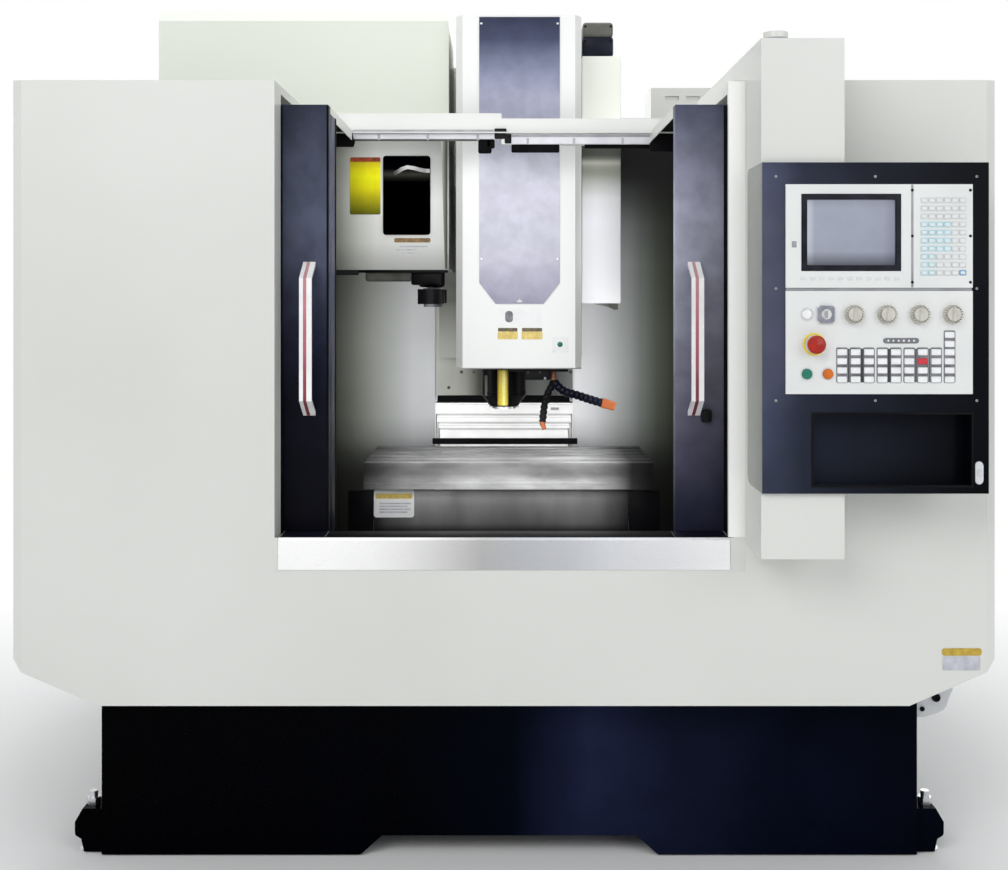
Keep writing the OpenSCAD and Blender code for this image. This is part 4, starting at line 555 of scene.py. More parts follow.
def corner_arcs(half_w, half_h, r, steps):
    """A rounded rectangle about the origin, as the places of its four corner arcs."""
    ring = []
    for i, (sx, sz) in enumerate(((1, 1), (-1, 1), (-1, -1), (1, -1))):
        for k in range(steps + 1):
            a = math.radians(90 * (i + k / steps))
            ring.append((sx * (half_w - r) + r * math.cos(a), sz * (half_h - r) + r * math.sin(a)))
    return ring


def plate(x, z, d, thick, corner, edge=0.0):
    """A rounded rectangle plate whose face looks forward from depth d, thick millimetres deep."""
    mid_x, mid_z = (x[0] + x[1]) / 2, (z[0] + z[1]) / 2
    ring = corner_arcs((x[1] - x[0]) / 2, (z[1] - z[0]) / 2, corner, 5)
    return outline([(mid_x + a, mid_z + b) for a, b in ring], d, thick, edge)


def border(x, z, inner_x, inner_z, d, thick, edge=0.0):
    """A rectangular frame around an opening, facing forward."""
    outer, inner = [[(a[0], b[0]), (a[1], b[0]), (a[1], b[1]), (a[0], b[1])]
                    for a, b in ((x, z), (inner_x, inner_z))]
    rows = [[point(a, depth, b) for a, b in ring]
            for ring, depth in ((outer, d), (inner, d), (inner, d + thick), (outer, d + thick))]
    return loft(rows, around=True, edge=edge, front=2)


def circle(sides, radius=1.0):
    """Places round a circle about the origin."""
    return [(radius * math.cos(2 * math.pi * i / sides), radius * math.sin(2 * math.pi * i / sides))
            for i in range(sides)]


def placed(part, place, axis):
    """A part built upwards from the origin, moved to a place and turned to an axis."""
    turn = Vector((0, 0, 1)).rotation_difference(Vector(axis)).to_matrix().to_4x4()
    part.transform(Matrix.Translation(point(*place)) @ turn)
    return part


def turned(profile, place, axis, sides=32):
    """A turned part: profile is (radius, distance along the axis), closed at the axis where radius is 0."""
    part = bmesh.new()
    rings = []
    for radius, height in profile:
        ring = circle(sides, radius) if radius else [(0, 0)]
        rings.append([part.verts.new((c * MM, s * MM, height * MM)) for c, s in ring])
    for a, b in zip(rings, rings[1:]):
        for i in range(sides):
            j = (i + 1) % sides
            corners = list(dict.fromkeys((a[i % len(a)], a[j % len(a)], b[j % len(b)], b[i % len(b)])))
            if len(corners) > 2:
                part.faces.new(corners)
    return placed(part, place, axis)


def disc(radius, height):
    """The profile of a plain turned disc."""
    return [(0, 0), (radius, 0), (radius, height), (0, height)]


def screw(place, axis, r, h):
    """A button-head screw with a hexagon socket."""
    sides = 24
    socket = r / 2
    hexagon = [(socket * math.cos(math.pi * round(i * 6 / sides) / 3),
                socket * math.sin(math.pi * round(i * 6 / sides) / 3)) for i in range(sides)]
    rows = [[(c * r * radius, s * r * radius, height) for c, s in circle(sides)]
            for radius, height in ((1.0, 0.0), (1.0, h * 0.45), (0.86, h * 0.85), (0.66, h))]
    rows += [[(a * shrink, b * shrink, height) for a, b in hexagon]
             for shrink, height in ((1, h), (0.98, h * 0.35))]
    head = loft([[Vector(corner) * MM for corner in row] for row in rows], (-1,))
    bmesh.ops.remove_doubles(head, verts=head.verts, dist=MERGE_DISTANCE)
    return placed(head, place, axis)


def screws(xs, d, zs, r, h, axis=FORWARD):
    """Equal screws at every x and z on one depth."""
    return [(screw, (x, d, z), axis, r, h) for x in xs for z in zs]


def tube(path, radii, sides=20):
    """A round tube of varying radius along a path of x, d, z places, closed at both ends."""
    rows = []
    for i, (centre, radius) in enumerate(zip(path, radii)):
        run = (Vector(path[min(i + 1, len(path) - 1)]) - Vector(path[max(i - 1, 0)])).normalized()
        first = run.cross(Vector((0, 1, 0))).normalized()
        second = run.cross(first).normalized()
        rows.append([point(*(Vector(centre) + (first * c + second * s) * radius)) for c, s in circle(sides)])
    return loft(rows, (0, -1))


def smooth_path(places, gap):
    """Places along a Catmull-Rom curve, about gap millimetres apart."""
    points = [Vector(p) for p in places]
    points = [points[0] * 2 - points[1]] + points + [points[-1] * 2 - points[-2]]
    path = []
    for a, b, c, e in zip(points, points[1:], points[2:], points[3:]):
        steps = max(2, round((c - b).length / gap))
        for k in range(steps):
            t = k / steps
            path.append(0.5 * (2 * b + (c - a) * t + (2 * a - 5 * b + 4 * c - e) * t * t
                               + (3 * b - a - 3 * c + e) * t * t * t))
    path.append(points[-2])
    return path


# Camera: 3.5 m in front of the machine's face at eye height, level, with the frame shifted down
CAMERA_BACK = 3500.0
EYE_Z = 1580.0
SENSOR_WIDTH = 36
LENS = 46.29
SHIFT_Y = -0.139

camera_data = bpy.data.cameras.new("camera")
camera = bpy.data.objects.new("camera", camera_data)
bpy.context.scene.collection.objects.link(camera)
camera.location = point(0, -CAMERA_BACK, EYE_Z)
camera.rotation_euler = (math.radians(90), 0, 0)
camera_data.sensor_width = SENSOR_WIDTH
camera_data.lens = LENS
camera_data.shift_y = SHIFT_Y
bpy.context.scene.camera = camera


def area_light(name, place, target, width, height, power):
    """A rectangular lamp at one point of the shared frame that looks at another, in metres and watts."""
    data = bpy.data.lights.new(name, "AREA")
    data.shape = "RECTANGLE"
    data.size, data.size_y = width, height
    data.energy = power
    lamp = bpy.data.objects.new(name, data)
    bpy.context.scene.collection.objects.link(lamp)
    lamp.location = place
    lamp.rotation_euler = (Vector(target) - Vector(place)).to_track_quat("-Z", "Y").to_euler()
    return lamp


area_light("key_light", (-2.6, -6.2, 4.6), (0, 0, 1.2), 4.0, 3.0, 150)
area_light("fill_light", (3.6, -5.6, 3.2), (0, 0, 1.2), 3.5, 3.0, 70)
area_light("top_light", (0, 0.4, 6.5), (0, 0, 1.0), 5.0, 4.0, 130)
area_light("back_light", (1.5, 6.5, 3.5), (0, 0, 1.2), 4.0, 3.0, 90)

# Work lamps between the open doors and behind the header, not seen themselves
for name, place, target, width, height, power in (
        ("work_lamp", (0, 60, 1560), (0, 1500, 1480), 0.9, 1.0, 4.1),
        ("magazine_lamp", (-440, 745, 2000), (-450, 945, 1985), 0.26, 0.22, 0.16),
        ("inner_lamp_left", (-450, 962, 1370), (-430, 1600, 1330), 0.42, 0.36, 2.4),
        ("inner_lamp_right", (530, 962, 1300), (500, 1600, 1330), 0.26, 0.40, 2.0),
        ("duct_lamp", (430, 900, 1890), (340, 1200, 1850), 0.16, 0.5, 0.7),
        ("table_lamp", (0, 1000, 1150), (0, 1060, 900), 0.9, 0.1, 0.8),
        ("apron_lamp", (0, 800, 1130), (0, 980, 930), 0.8, 0.08, 1.0)):
    area_light(name, point(*place), point(*target), width, height, power).visible_camera = False


def seen_rays(tree):
    """1 for camera, glossy and transmission rays."""
    path = tree.nodes.new("ShaderNodeLightPath")
    total = path.outputs["Is Camera Ray"]
    for ray in ("Is Glossy Ray", "Is Transmission Ray"):
        total = node(tree, "ShaderNodeMath", {0: total, 1: path.outputs[ray]}, "MAXIMUM").outputs[0]
    return total


world = bpy.data.worlds.new("studio")
bpy.context.scene.world = world
sky = cleared(world)
ambient = node(sky, "ShaderNodeBackground", {"Color": (0.96, 0.98, 1.0, 1), "Strength": 0.52})
seen = node(sky, "ShaderNodeBackground", {"Color": (1, 1, 1, 1), "Strength": 1.0})
sky_mix = node(sky, "ShaderNodeMixShader", {0: seen_rays(sky), 1: ambient.outputs[0], 2: seen.outputs[0]})
node(sky, "ShaderNodeOutputWorld", {0: sky_mix.outputs[0]})

# Metres from the machine where the floor starts to fade to white, and where it is white
FADE_START, FADE_END = 1.6, 3.2
FLOOR_HALF = 30


def floor_material():
    """Pale floor that keeps the shadow near the machine and fades to white away from it."""
    mat = bpy.data.materials.new("studio_floor")
    tree = cleared(mat)
    lit = node(tree, "ShaderNodeBsdfDiffuse", {"Color": (0.90, 0.90, 0.90, 1)})
    white = node(tree, "ShaderNodeEmission", {"Strength": 1.0})
    length = node(tree, "ShaderNodeVectorMath", {0: object_place(tree)}, "LENGTH").outputs["Value"]
    far = spread(tree, length, 0.0, 1.0, FADE_START, FADE_END)
    both = node(tree, "ShaderNodeMath", {0: far, 1: seen_rays(tree)}, "MULTIPLY")
    blend = node(tree, "ShaderNodeMixShader", {0: both.outputs[0], 1: lit.outputs[0], 2: white.outputs[0]})
    node(tree, "ShaderNodeOutputMaterial", {0: blend.outputs[0]})
    return mat


floor_mesh = bpy.data.meshes.new("studio_floor")
FLOOR_CORNERS = [(x * FLOOR_HALF, y * FLOOR_HALF, 0) for x, y in ((-1, -1), (1, -1), (1, 1), (-1, 1))]
floor_mesh.from_pydata(FLOOR_CORNERS, [], [(0, 1, 2, 3)])
floor_mesh.materials.append(floor_material())
floor = bpy.data.objects.new("studio_floor", floor_mesh)
bpy.context.scene.collection.objects.link(floor)

bpy.context.scene.view_settings.view_transform = "Standard"

# Two d, two z and the edge of the thin liners on the sill
SILL_TOP = ((7, 94), (924.2, 925.6), 0.3)

# Pieces that are one box: name, finish, body, slot, two x, two d, two z, edge and its steps
pieces(box, (
    ("seam_strip", "white", "frame", "white_paint", (-9, -7), (0.4, 3), (470.5, 860), 0),
    # The jamb strip is whiter than the front panel: painted light where the pod shades the jamb.
    ("jamb_strip", "jamb", "frame", "white_paint", (606, 652), (-0.8, 2.5), (926, 2157), 0.3),
    # A dark strip under the left header rail: painted shadow.
    ("header_gap", "umber_grey", "frame", "guard_paint", (-484, -84), (707, 712), (2079.5, 2087), 1),
    ("stile_strip_left", "rubber", "door_left", "black_plastic",
     (-494, -488.6), (109, 116), (874, 2107), 0.6),
    ("door_return_left", "navy_left_plain", "door_left", "navy_paint",
     (-491.5, -489.5), (151, 252), (882, 2090), 0.4),
    ("door_return_seal", "rubber", "door_left", "black_plastic",
     (-492.5, -488.9), (252, 280), (882, 2092), 0.8),
    ("stile_strip_right", "rubber", "door_right", "black_plastic",
     (612, 620), (109, 110.6), (874, 2107), 0.4),
    ("door_stop", "black", "door_right", "black_plastic", (548, 576), (86, 110.5), (1226, 1262), 6),
    # A grey-dark block under the magazine: painted shadow.
    ("magazine_shelf", "umber_grey", "frame", "black_steel", (-478, -318), (966, 1004), (1626, 1667), 10, 4),
    ("head_cover_rim", "shade", "head", "white_paint", (-160, 260), (852, 1478), (1331, 1336), 1.5),
    ("spindle_strip", "gold_strip", "head", "black_steel", (-23, 15), (976, 994), (1196, 1322), 6, 3),
    ("column_wiper", "rubber", "frame", "black_plastic", (-262, 258), (1600, 1607), (1159, 1184), 2),
    ("cover_slot", "shade", "frame", "stainless", (184, 216), (1598.9, 1600.4), (1127, 1137), 0.6),
    ("way_wiper", "rubber", "saddle", "black_plastic", (-275, 282), (1473, 1481), (1007, 1030), 3),
    ("table_edge_light", "key_white", "table", "table_iron", (-420, 420), (967.6, 969.4), (925, 929.5), 0.6),
    ("duct_plug_base", "navy_plastic", "head", "black_plastic", (285, 397), (1200, 1350), (2446.5, 2516), 9),
    ("duct_plug_lid", "olive_plastic", "head", "black_plastic",
     (286, 396), (1201, 1349), (2514, 2570), 12, 3),
    ("unit_seam", "seam_grey", "frame", "unit_plastic", (714, 1185), (-217.5, -215), (1590.3, 1597.7), 0.6),
    ("display_seam", "seam_grey", "frame", "unit_plastic", (1030, 1036), (-221.6, -220.5), (1599, 1859), 0.3),
    ("screen_port", "seam_grey", "frame", "black_plastic", (728, 740), (-222, -220.5), (1700, 1716), 0.6),
))

# Boxes in pairs that differ in x alone: name, finish, body, slot, the left x and the right x, and the rest
for name, finish, body, slot, left, right, *values in (
        ("sill_filler_", "white", "frame", "white_paint", (-622, -611), (611, 652),
         (-0.8, 2), (832, 924.5), 0.3),
        ("sill_liner_", "navy_left_plain", "frame", "black_plastic", (-606, -486), (464, 606), *SILL_TOP),
        ("door_seal_", "rubber", "frame", "black_plastic", (-619.5, -616), (616, 619.5),
         (96, 106), (926, 2104), 1.0),
        ("door_roof_liner_", "rubber", "door_", "black_plastic", (-1127.5, -492.5), (479.5, 1114.5),
         (151, 676), (2105.2, 2108.2), 0.5),
        ("apron_side_", "black", "saddle", "saddle_iron", (-540, -452), (432, 540),
         (986, 989), (690, 903), 1),
        ("guard_liner_", "liner", "frame", "white_paint", (-1322, -700), (700, 1322),
         (1598.4, 1600.4), (610, 2154), 0.3)):
    for side, x in (("left", left), ("right", right)):
        piece(name + side, finish, body + side if body == "door_" else body, slot, (box, x, *values))
piece("sill_liner_middle", "black", "frame", "black_plastic", (box, (-484, 462), *SILL_TOP))

# Pieces that are one plate: name, finish, body, slot, two x, two z, depth, thickness, corner and edge
pieces(plate, (
    ("side_plate_strip", "ochre", "frame", "white_paint", (1182, 1290), (606, 626), -1.2, 1.4, 8, 0.3),
    ("side_plate_field", "pale_print", "frame", "white_paint", (1184, 1286), (566, 604), -0.8, 1.0, 3, 0.3),
    ("magazine_window", "window_black", "frame", "pane", (-415, -252.5), (1786, 2057), 945.5, 4.6, 10, 1.0),
    ("magazine_plate", "plate_yellow", "frame", "white_paint",
     (-529, -424), (1856, 2052), 948.7, 1.3, 6, 0.4),
    ("magazine_plate_top", "brown", "frame", "white_paint", (-527, -424), (2037, 2052), 948.1, 0.8, 4, 0.2),
    ("magazine_label_strip", "brown_ochre", "frame", "white_paint",
     (-377, -252), (1760, 1775), 948.8, 1.2, 5, 0.3),
    ("head_print_place", "paper", "head", "white_paint", (-16, 124), (1476, 1538), 849.2, 0.9, 3, 0.3),
    ("head_print_mark", "strip_grey", "head", "white_paint", (4, 30), (1488, 1526), 848.7, 0.6, 11, 0.2),
    ("head_lamp_plate", "paper", "head", "white_paint", (162, 216), (1385, 1442), 848.8, 1.3, 4, 0.4),
    ("apron_label", "paper", "saddle", "white_paint", (-450, -311), (810, 908), 983.6, 1.6, 9, 0.5),
    ("apron_label_top", "ochre_light", "saddle", "white_paint", (-444, -317), (875, 893), 983.0, 0.8, 4, 0.2),
    ("indicator_strip", "strip_grey", "frame", "black_plastic",
     (959, 1050), (1457, 1471), -222.2, 1.4, 6.8, 0.5),
    ("pocket_latch", "guard", "frame", "stainless", (1194, 1214), (1100, 1158), -218.6, 3.8, 9.8, 1.4),
    ("pocket_latch_thumb", "zinc", "frame", "zinc_steel", (1198, 1210), (1118, 1140), -219.6, 1.4, 5.8, 0.5),
))

# Front of the enclosure
piece("floor_bracket", "guard", "frame", "guard_paint",
      (outline, [(1163.4, 385), (1190, 384), (1229, 396), (1246, 406), (1253, 416), (1260, 439), (1270, 460),
                 (1275, 520), (1163.4, 478)], 170, 6, 1.0))
piece("floor_bracket_screws", "black", "frame", "black_steel",
      (screw, (1223, 170, 440), FORWARD, 12, 9), (screw, (1184, 170, 408), FORWARD, 7, 5))

# Header: the bands of the left and the right rail, what joins them, and black plates at their ends that are
# painted shadow under the door roofs
LEFT_RAIL, RIGHT_RAIL = (-491, -33), (24, 474)
piece("header_clips", "rail_grey", "frame", "zinc_steel",
      *[(box, (x - 4, x + 4), (704.6, 706.4), (z - 9, z + 9), 1.0)
        for xs, z in (((-406, -247, -85), 2091), ((77, 227, 385), 2080)) for x in xs])
# A grey band along the top of each header rail: painted shade.
piece("header_rail_shade", "rail_grey", "frame", "guard_paint",
      (box, LEFT_RAIL, (705.4, 706.4), (2103.5, 2116.5), 0.4),
      (box, RIGHT_RAIL, (705.4, 706.4), (2093.5, 2100.5), 0.4))
piece("header_bands", "rail", "frame", "guard_paint",
      (box, LEFT_RAIL, (705.8, 706.4), (2085, 2102.5), 0.2),
      (box, RIGHT_RAIL, (705.8, 706.4), (2068.5, 2092.5), 0.2))
piece("header_lines", "seam_grey", "frame", "guard_paint",
      *[(box, rail, (705.2, 706.4), (z, z + 1.1), 0.2)
        for rail, zs in ((LEFT_RAIL, (2101.8, 2085.4)), (RIGHT_RAIL, (2092.2, 2069))) for z in zs])
piece("header_joint", "black_plastic", "frame", "black_plastic",
      (box, (-31, 8), (701.5, 712), (2086, 2120), 3), (box, (2, 24), (701.5, 712), (2071, 2102), 3))
piece("header_brushes", "rubber", "frame", "black_plastic",
      (box, (24, 180), (712, 726), (2043, 2069.5), 4), (box, (262, 474), (716, 722), (2056.5, 2069.5), 1),
      (box, (-84, -40), (712, 726), (2040, 2086.5), 6), (box, (-60, -30), (712, 724), (2056, 2086.5), 6))
# Black plates at both ends of the header: painted shadow under the door roofs.
for name, front, behind in (
        ("header_end_shadow_left", [(-640, 2060), (-488, 2060), (-484, 2072), (-492, 2104), (-640, 2104)],
         [(-640, 2060), (-490, 2060), (-484, 2072), (-484, 2086), (-640, 2086)]),
        ("header_end_shadow_right", [(472, 2045), (640, 2045), (640, 2104), (498, 2104), (472, 2071)],
         [(472, 2045), (640, 2045), (640, 2066), (472, 2066)])):
    piece(name, "black", "frame", "black_steel",
          (outline, front, 703.4, 2.2, 0.4), (outline, behind, 706.5, 4, 0.6))

# Doors: rubber frames round the windows, rollers, and the handles' screws and stripes
ROLLER = [(0, 0), (15, 0), (17, 1.5), (17, 4.5), (15, 6), (7, 6), (5, 7.5), (0, 7.5)]
STRIPE = [(108.5, 1244.3), (34.4, 1289.8), (34.4, 1626.2), (108.5, 1671.7), (108.5, 1670.4), (35.2, 1625.6),
          (35.2, 1290.4), (108.5, 1245.6)]
for side, rollers, window, opening, handle in (
        ("left", (-1070, -550), (-1030, -627), (-1022, -635), -542),
        ("right", (537, 1057), (614, 1017), (622, 1009), 529)):
    body = "door_" + side
    piece("window_seal_" + side, "rubber", body, "black_plastic",
          *[(border, window, (1200, 1960), opening, (1208, 1952), d, 4.6, 1.2) for d in (108.5, 146.9)])
    piece("door_rollers_" + side, "zinc", body, "zinc_steel",
          *[(turned, ROLLER, (x, 150, 886), BACKWARD, 24) for x in rollers])
    piece("handle_screws_" + side, "zinc", body, "zinc_steel",
          *screws((handle - 9, handle + 9), 110, (1256, 1660), 4.5, 3.2))
    piece("handle_stripe_" + side, "rose", body, "handle_finish",
          (across, STRIPE, handle - 6.2, handle + 2.6))

# Magazine: the window's glint, label, skirt and edge, and the tool changer's bracket

def band(path, width, d, thick):
    """A flat band that follows a path in x and z, one stretch after another."""
    top, low = [], []
    for i, (x, z) in enumerate(path):
        a, b = path[max(i - 1, 0)], path[min(i + 1, len(path) - 1)]
        run = math.hypot(b[0] - a[0], b[1] - a[1])
        nx, nz = -(b[1] - a[1]) / run, (b[0] - a[0]) / run
        top.append((x + nx * width / 2, z + nz * width / 2))
        low.append((x - nx * width / 2, z - nz * width / 2))
    part = bmesh.new()
    for i in range(len(path) - 1):
        join(part, outline([low[i], low[i + 1], top[i + 1], top[i]], d, thick))
    bmesh.ops.remove_doubles(part, verts=part.verts, dist=MERGE_DISTANCE)
    return part


piece("magazine_window_glint", "glint", "frame", "pane",
      (band, [(-378, 1995), (-364, 2003), (-350, 2012), (-331, 2018), (-310, 2015), (-288, 2009),
              (-271, 2006), (-254.5, 2005)], 13, 944.8, 0.8))
piece("magazine_label_lines", "pale_print", "frame", "white_paint",
      *[(plate, x, (z, z + 4), 949.4, 0.6, 1, 0)
        for x, z in (((-358, -262), 1744), ((-372, -300), 1733), ((-350, -286), 1722))])
piece("magazine_skirt", "black", "frame", "black_steel",
      (box, (-1182, -500), (952, 966), (1648, 1667), 2), (box, (-502, -193), (952, 966), (1656, 1667), 2),
      (box, (-320, -215), (966, 1004), (1614, 1667), 6))
piece("magazine_edge", "edge_shade", "frame", "white_paint",
      (outline, [(-203, 1668.5), (-194, 1668.5), (-194, 2110), (-216, 2110)], 949.3, 0.7, 0.2))
piece("changer_bracket", "black", "frame", "black_steel",
      (box, (-296, -207), (985, 1060), (1607, 1668), 9, 3),
      (turned, [(0, 0), (16, 0), (18, 3), (18, 34), (0, 34)], (-230, 1000, 1605), UP, 24))
piece("changer_caps", "seam_grey", "frame", "zinc_steel",
      (turned, [(0, 4), (8, 3), (11, 0), (11, -6), (0, -6)], (-297, 984, 1641), FORWARD, 24),
      (turned, [(0, 3), (6, 2), (8, 0), (8, -6), (0, -6)], (-268, 984, 1638), FORWARD, 24))

# Head: latch, labels, lamp and screws of the cover, rings and ribs of the spindle, coolant hoses
piece("head_panel_latch", "unit", "head", "stainless",
      (turned, disc(3.5, 4), (52, 846, 1562), FORWARD, 16),
      (box, (43, 61), (843.5, 846.5), (1555, 1561), 1.4))
piece("head_panel_screws", "zinc", "head", "zinc_steel", *screws((-76, 180), 846, (2490, 2060, 1700), 4, 2.4))
piece("head_labels", "ochre_light", "head", "white_paint",
      *[(plate, x, (1431, 1457), 848.6, 1.5, 4, 0.4) for x in ((-21, 46), (59, 129))])
piece("head_label_tops", "umber", "head", "white_paint",
      *[(plate, x, (1457.5, 1469), 848.6, 1.5, 3, 0.4) for x in ((-20, 45), (60, 128))])
piece("head_lamp", "green", "head", "green_plastic",
      (turned, [(0, 4), (6, 3.6), (8.5, 2), (9, 0), (0, 0)], (188, 848.9, 1414), FORWARD, 24))
piece("head_lamp_screws", "zinc", "head", "zinc_steel", *screws((167, 211), 848.8, (1391, 1437), 2.4, 1.4))
piece("spindle_ribs", "olive_plastic", "head", "black_steel",
      *[(box, (x - 5, x + 5), (1012, 1036), (1228, 1300), 2.5) for x in (-62, 48)])
SPINDLE_D = 1065
piece("spindle_rings", "black", "head", "black_steel",
      (turned, [(79.4, 0), (79.4, 12), (77.5, 14), (60, 14), (60, 0)], (0, SPINDLE_D, 1316), UP, 64),
      (turned, [(79.0, 0), (79.4, 1.5), (79.4, 5), (79.0, 6.5), (60, 6.5), (60, 0)],
       (0, SPINDLE_D, 1236), UP, 64))
piece("spindle_screws", "zinc", "head", "zinc_steel",
      *[(screw, (55 * math.cos(a), SPINDLE_D + 55 * math.sin(a), 1190.2), DOWN, 5, 3)
        for a in [math.radians(30 + 60 * i) for i in range(6)]])

HOSE_D = 930
BEAD_PITCH = 17


def hose_path(places, gap):
    """A smooth path through x and z places on the hoses' depth."""
    return smooth_path([(x, HOSE_D, z) for x, z in places], gap)


def beaded(places, more=0.0):
    """Path and radii of a chain of ball-jointed segments."""
    path = hose_path(places, 2.4)
    radii, run = [], 0.0
    for i, centre in enumerate(path):
        run += (centre - path[i - 1]).length if i else 0.0
        radii.append(9.2 + more + 3.6 * abs(math.sin(math.pi * run / BEAD_PITCH)) ** 0.6)
    return path, radii


def nozzle(places, r0, r1):
    """Path, radii and sides of a tapered nozzle with a small collar near its root."""
    path = hose_path(places, 4.0)
    last = len(path) - 1
    return path, [r0 + (r1 - r0) * i / last + (0.8 if i in (2, 3) else 0.0) for i in range(last + 1)], 28


hose = piece("hose_left", "black_plastic", "head", "black_plastic",
             (box, (18, 218), (890, 970), (1319.5, 1335), 1.5), (box, (70, 158), (886, 966), (1292, 1332), 4),
             (turned, [(0, 15), (9, 12), (14, 5), (15, 0), (14, -5), (9, -12), (0, -15)],
              (171, HOSE_D, 1281), UP, 24),
             (tube, *beaded([(171, 1283), (160, 1263), (150, 1243), (141, 1219), (137, 1193), (134, 1168),
                             (131.5, 1147)])))
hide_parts("coolant_hoses")
piece("hose_right", "navy_plastic", "head", "black_plastic",
      (tube, *beaded([(171, 1283), (190, 1262), (214, 1247), (253, 1236), (291, 1223.5), (340, 1209)], 2.4)))
piece("hose_nozzles", "tip", "head", "orange_plastic",
      (tube, *nozzle([(131, 1150), (132, 1138), (139, 1120)], 10.2, 6.8)),
      (tube, *nozzle([(334, 1211), (350, 1207), (379, 1198)], 17.0, 15.0)))
piece("hose_socket", "copper", "head", "orange_plastic",
      (turned, [(0, 0), (10.5, 0), (12.4, 2), (12.4, 10), (11.2, 12), (11.2, 24), (12.4, 26), (12.4, 31),
                (0, 31)], (168.5, HOSE_D, 1289), UP, 32))
piece("hose_bracket_screw", "seam_grey", "head", "zinc_steel",
      (turned, [(0, 5), (3.6, 3.6), (5, 0), (5, -6), (0, -6)], (139, 886, 1297), FORWARD, 20))
piece("hose_bracket_bolts", "dark_steel", "head", "black_steel", *screws((82, 122), 886, (1318,), 3.6, 2.2))

# Column, covers, table and cable duct
APRON_D = depth_of(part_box("head_apron")[0].y)
piece("column_cover_screws", "zinc", "frame", "zinc_steel",
      *screws((-252, 252), 1606, (1215, 1330, 1560), 6, 3.5),
      *screws((-214, -172, -111), 1606, (1277,), 5, 3))
piece("apron_plate_screws", "umber_grey", "head", "zinc_steel",
      *screws((-217, 217), APRON_D, (1216,), 6, 3), *screws((-167, -118, 262), APRON_D, (1277,), 6, 3))
for name, body, z0, z1, d, half in (
        ("outer", "frame", 1109, 1155, 1600, 269), ("middle", "rear_cover_outer", 1081, 1108, 1560, 261),
        ("inner", "rear_cover_middle", 1061, 1080, 1520, 253)):
    piece("cover_lip_" + name, "rail_grey", body, "stainless",
          (box, (-half, half), (d - 0.9, d + 0.5), (z0 + 1.2, z0 + 3.6), 0.4),
          (box, (-half, half), (d - 0.7, d + 0.5), (z1 - 6, z1 - 5), 0.3))
piece("apron_screws", "zinc", "saddle", "zinc_steel",
      *screws((-430, -220, 0, 210, 410), 985, (660, 700), 6, 3.5))
piece("apron_label_lines", "pale_print", "saddle", "white_paint",
      *[(plate, (-431, end), (z, z + 5), 983.1, 0.7, 1, 0)
        for end, z in ((-322, 856), (-334, 846), (-322, 836), (-334, 826))])
duct = piece("cable_duct_body", "duct", "head", "white_paint",
             (box, (283, 424), (1200, 1500), (1549, 2447), 5))
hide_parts("cable_duct")
piece("duct_plug_screws", "black", "head", "black_steel",
      *screws((295, 387), 1201, (2554,), 4.5, 1.2), *screws((295, 387), 1200, (2500,), 4.5, 1.0))
piece("duct_gland", "gland_grey", "frame", "black_plastic",
      (outline, [(330, 1556), (440, 1556), (440, 1524), (426, 1522), (402, 1534), (345, 1545)],
       1497.6, 2, 0.4))

# Control pod: the console's face and the faces of the two units in front of it
CONSOLE_D = -215
UNIT_D = -221
piece("pod_side_plate", "side_grey", "frame", "navy_paint",
      (across, [(-213, 1077), (-60, 1077), (-40, 1081), (-26, 1090), (-21, 1104), (-21, 1896), (-26, 1908),
                (-40, 1915), (-213, 1915)], 653.6, 655.2))
piece("console_screws", "seam_grey", "frame", "zinc_steel",
      *screws((689, 941, 1198), CONSOLE_D, (1880, 1312), 3.6, 2.2),
      *screws((689, 1198), CONSOLE_D, (1596,), 3.6, 2.2))
piece("display_screws", "black", "frame", "black_steel",
      *screws((1033, 1180), UNIT_D, (1612, 1729, 1845), 3.6, 2.0))
piece("pocket_rim", "black", "frame", "black_steel",
      (border, (779, 1190), (1092, 1282), (784.4, 1184.6), (1097.4, 1276.6), -216.2, 1.6, 0.6))

SCREEN_X, SCREEN_Z = (767, 990), (1655, 1821)
piece("screen_frame", "screen_black", "frame", "black_plastic",
      (border, (752.5, 1004.5), (1640.5, 1835.5), SCREEN_X, SCREEN_Z, -223.4, 5.2, 2.0))


def bulging_glass(columns, rows):
    """The screen's glass, which bulges 1.6 mm towards its middle."""
    part = bmesh.new()
    wide, high = SCREEN_X[1] - SCREEN_X[0], SCREEN_Z[1] - SCREEN_Z[0]
    grid = []
    for j in range(rows + 1):
        line = []
        for i in range(columns + 1):
            s, t = i / columns * 2 - 1, j / rows * 2 - 1
            bulge = 1.6 * (1 - 0.5 * s * s - 0.5 * t * t)
            place = point(SCREEN_X[0] + wide * i / columns, -219.0 - bulge, SCREEN_Z[0] + high * j / rows)
            line.append(part.verts.new(place))
        grid.append(line)
    for low, top in zip(grid, grid[1:]):
        for i in range(columns):
            part.faces.new((low[i], low[i + 1], top[i + 1], top[i]))
    return part


piece("screen_glass", "screen", "frame", "pane", (bulging_glass, 24, 18))
piece("soft_keys", "key_pale", "frame", "unit_plastic",
      *[(box, (x - 7, x + 7), (-222.2, -220.5), (1617, 1625), 0.8)
        for x in [757 + i * 23.6 for i in range(11)]])


def key_cap(x, z, w, h, rise):
    """A key cap with a dished top."""
    rows = [[point(x + a, UNIT_D - height, z + b)
             for a, b in corner_arcs((w + grow) / 2, (h + grow) / 2, 2.2, 3)]
            for grow, height in ((0, 0), (0, rise * 0.55), (-1.6, rise), (-4.4, rise), (-5.6, rise * 0.75))]
    return loft(rows, (-1,))


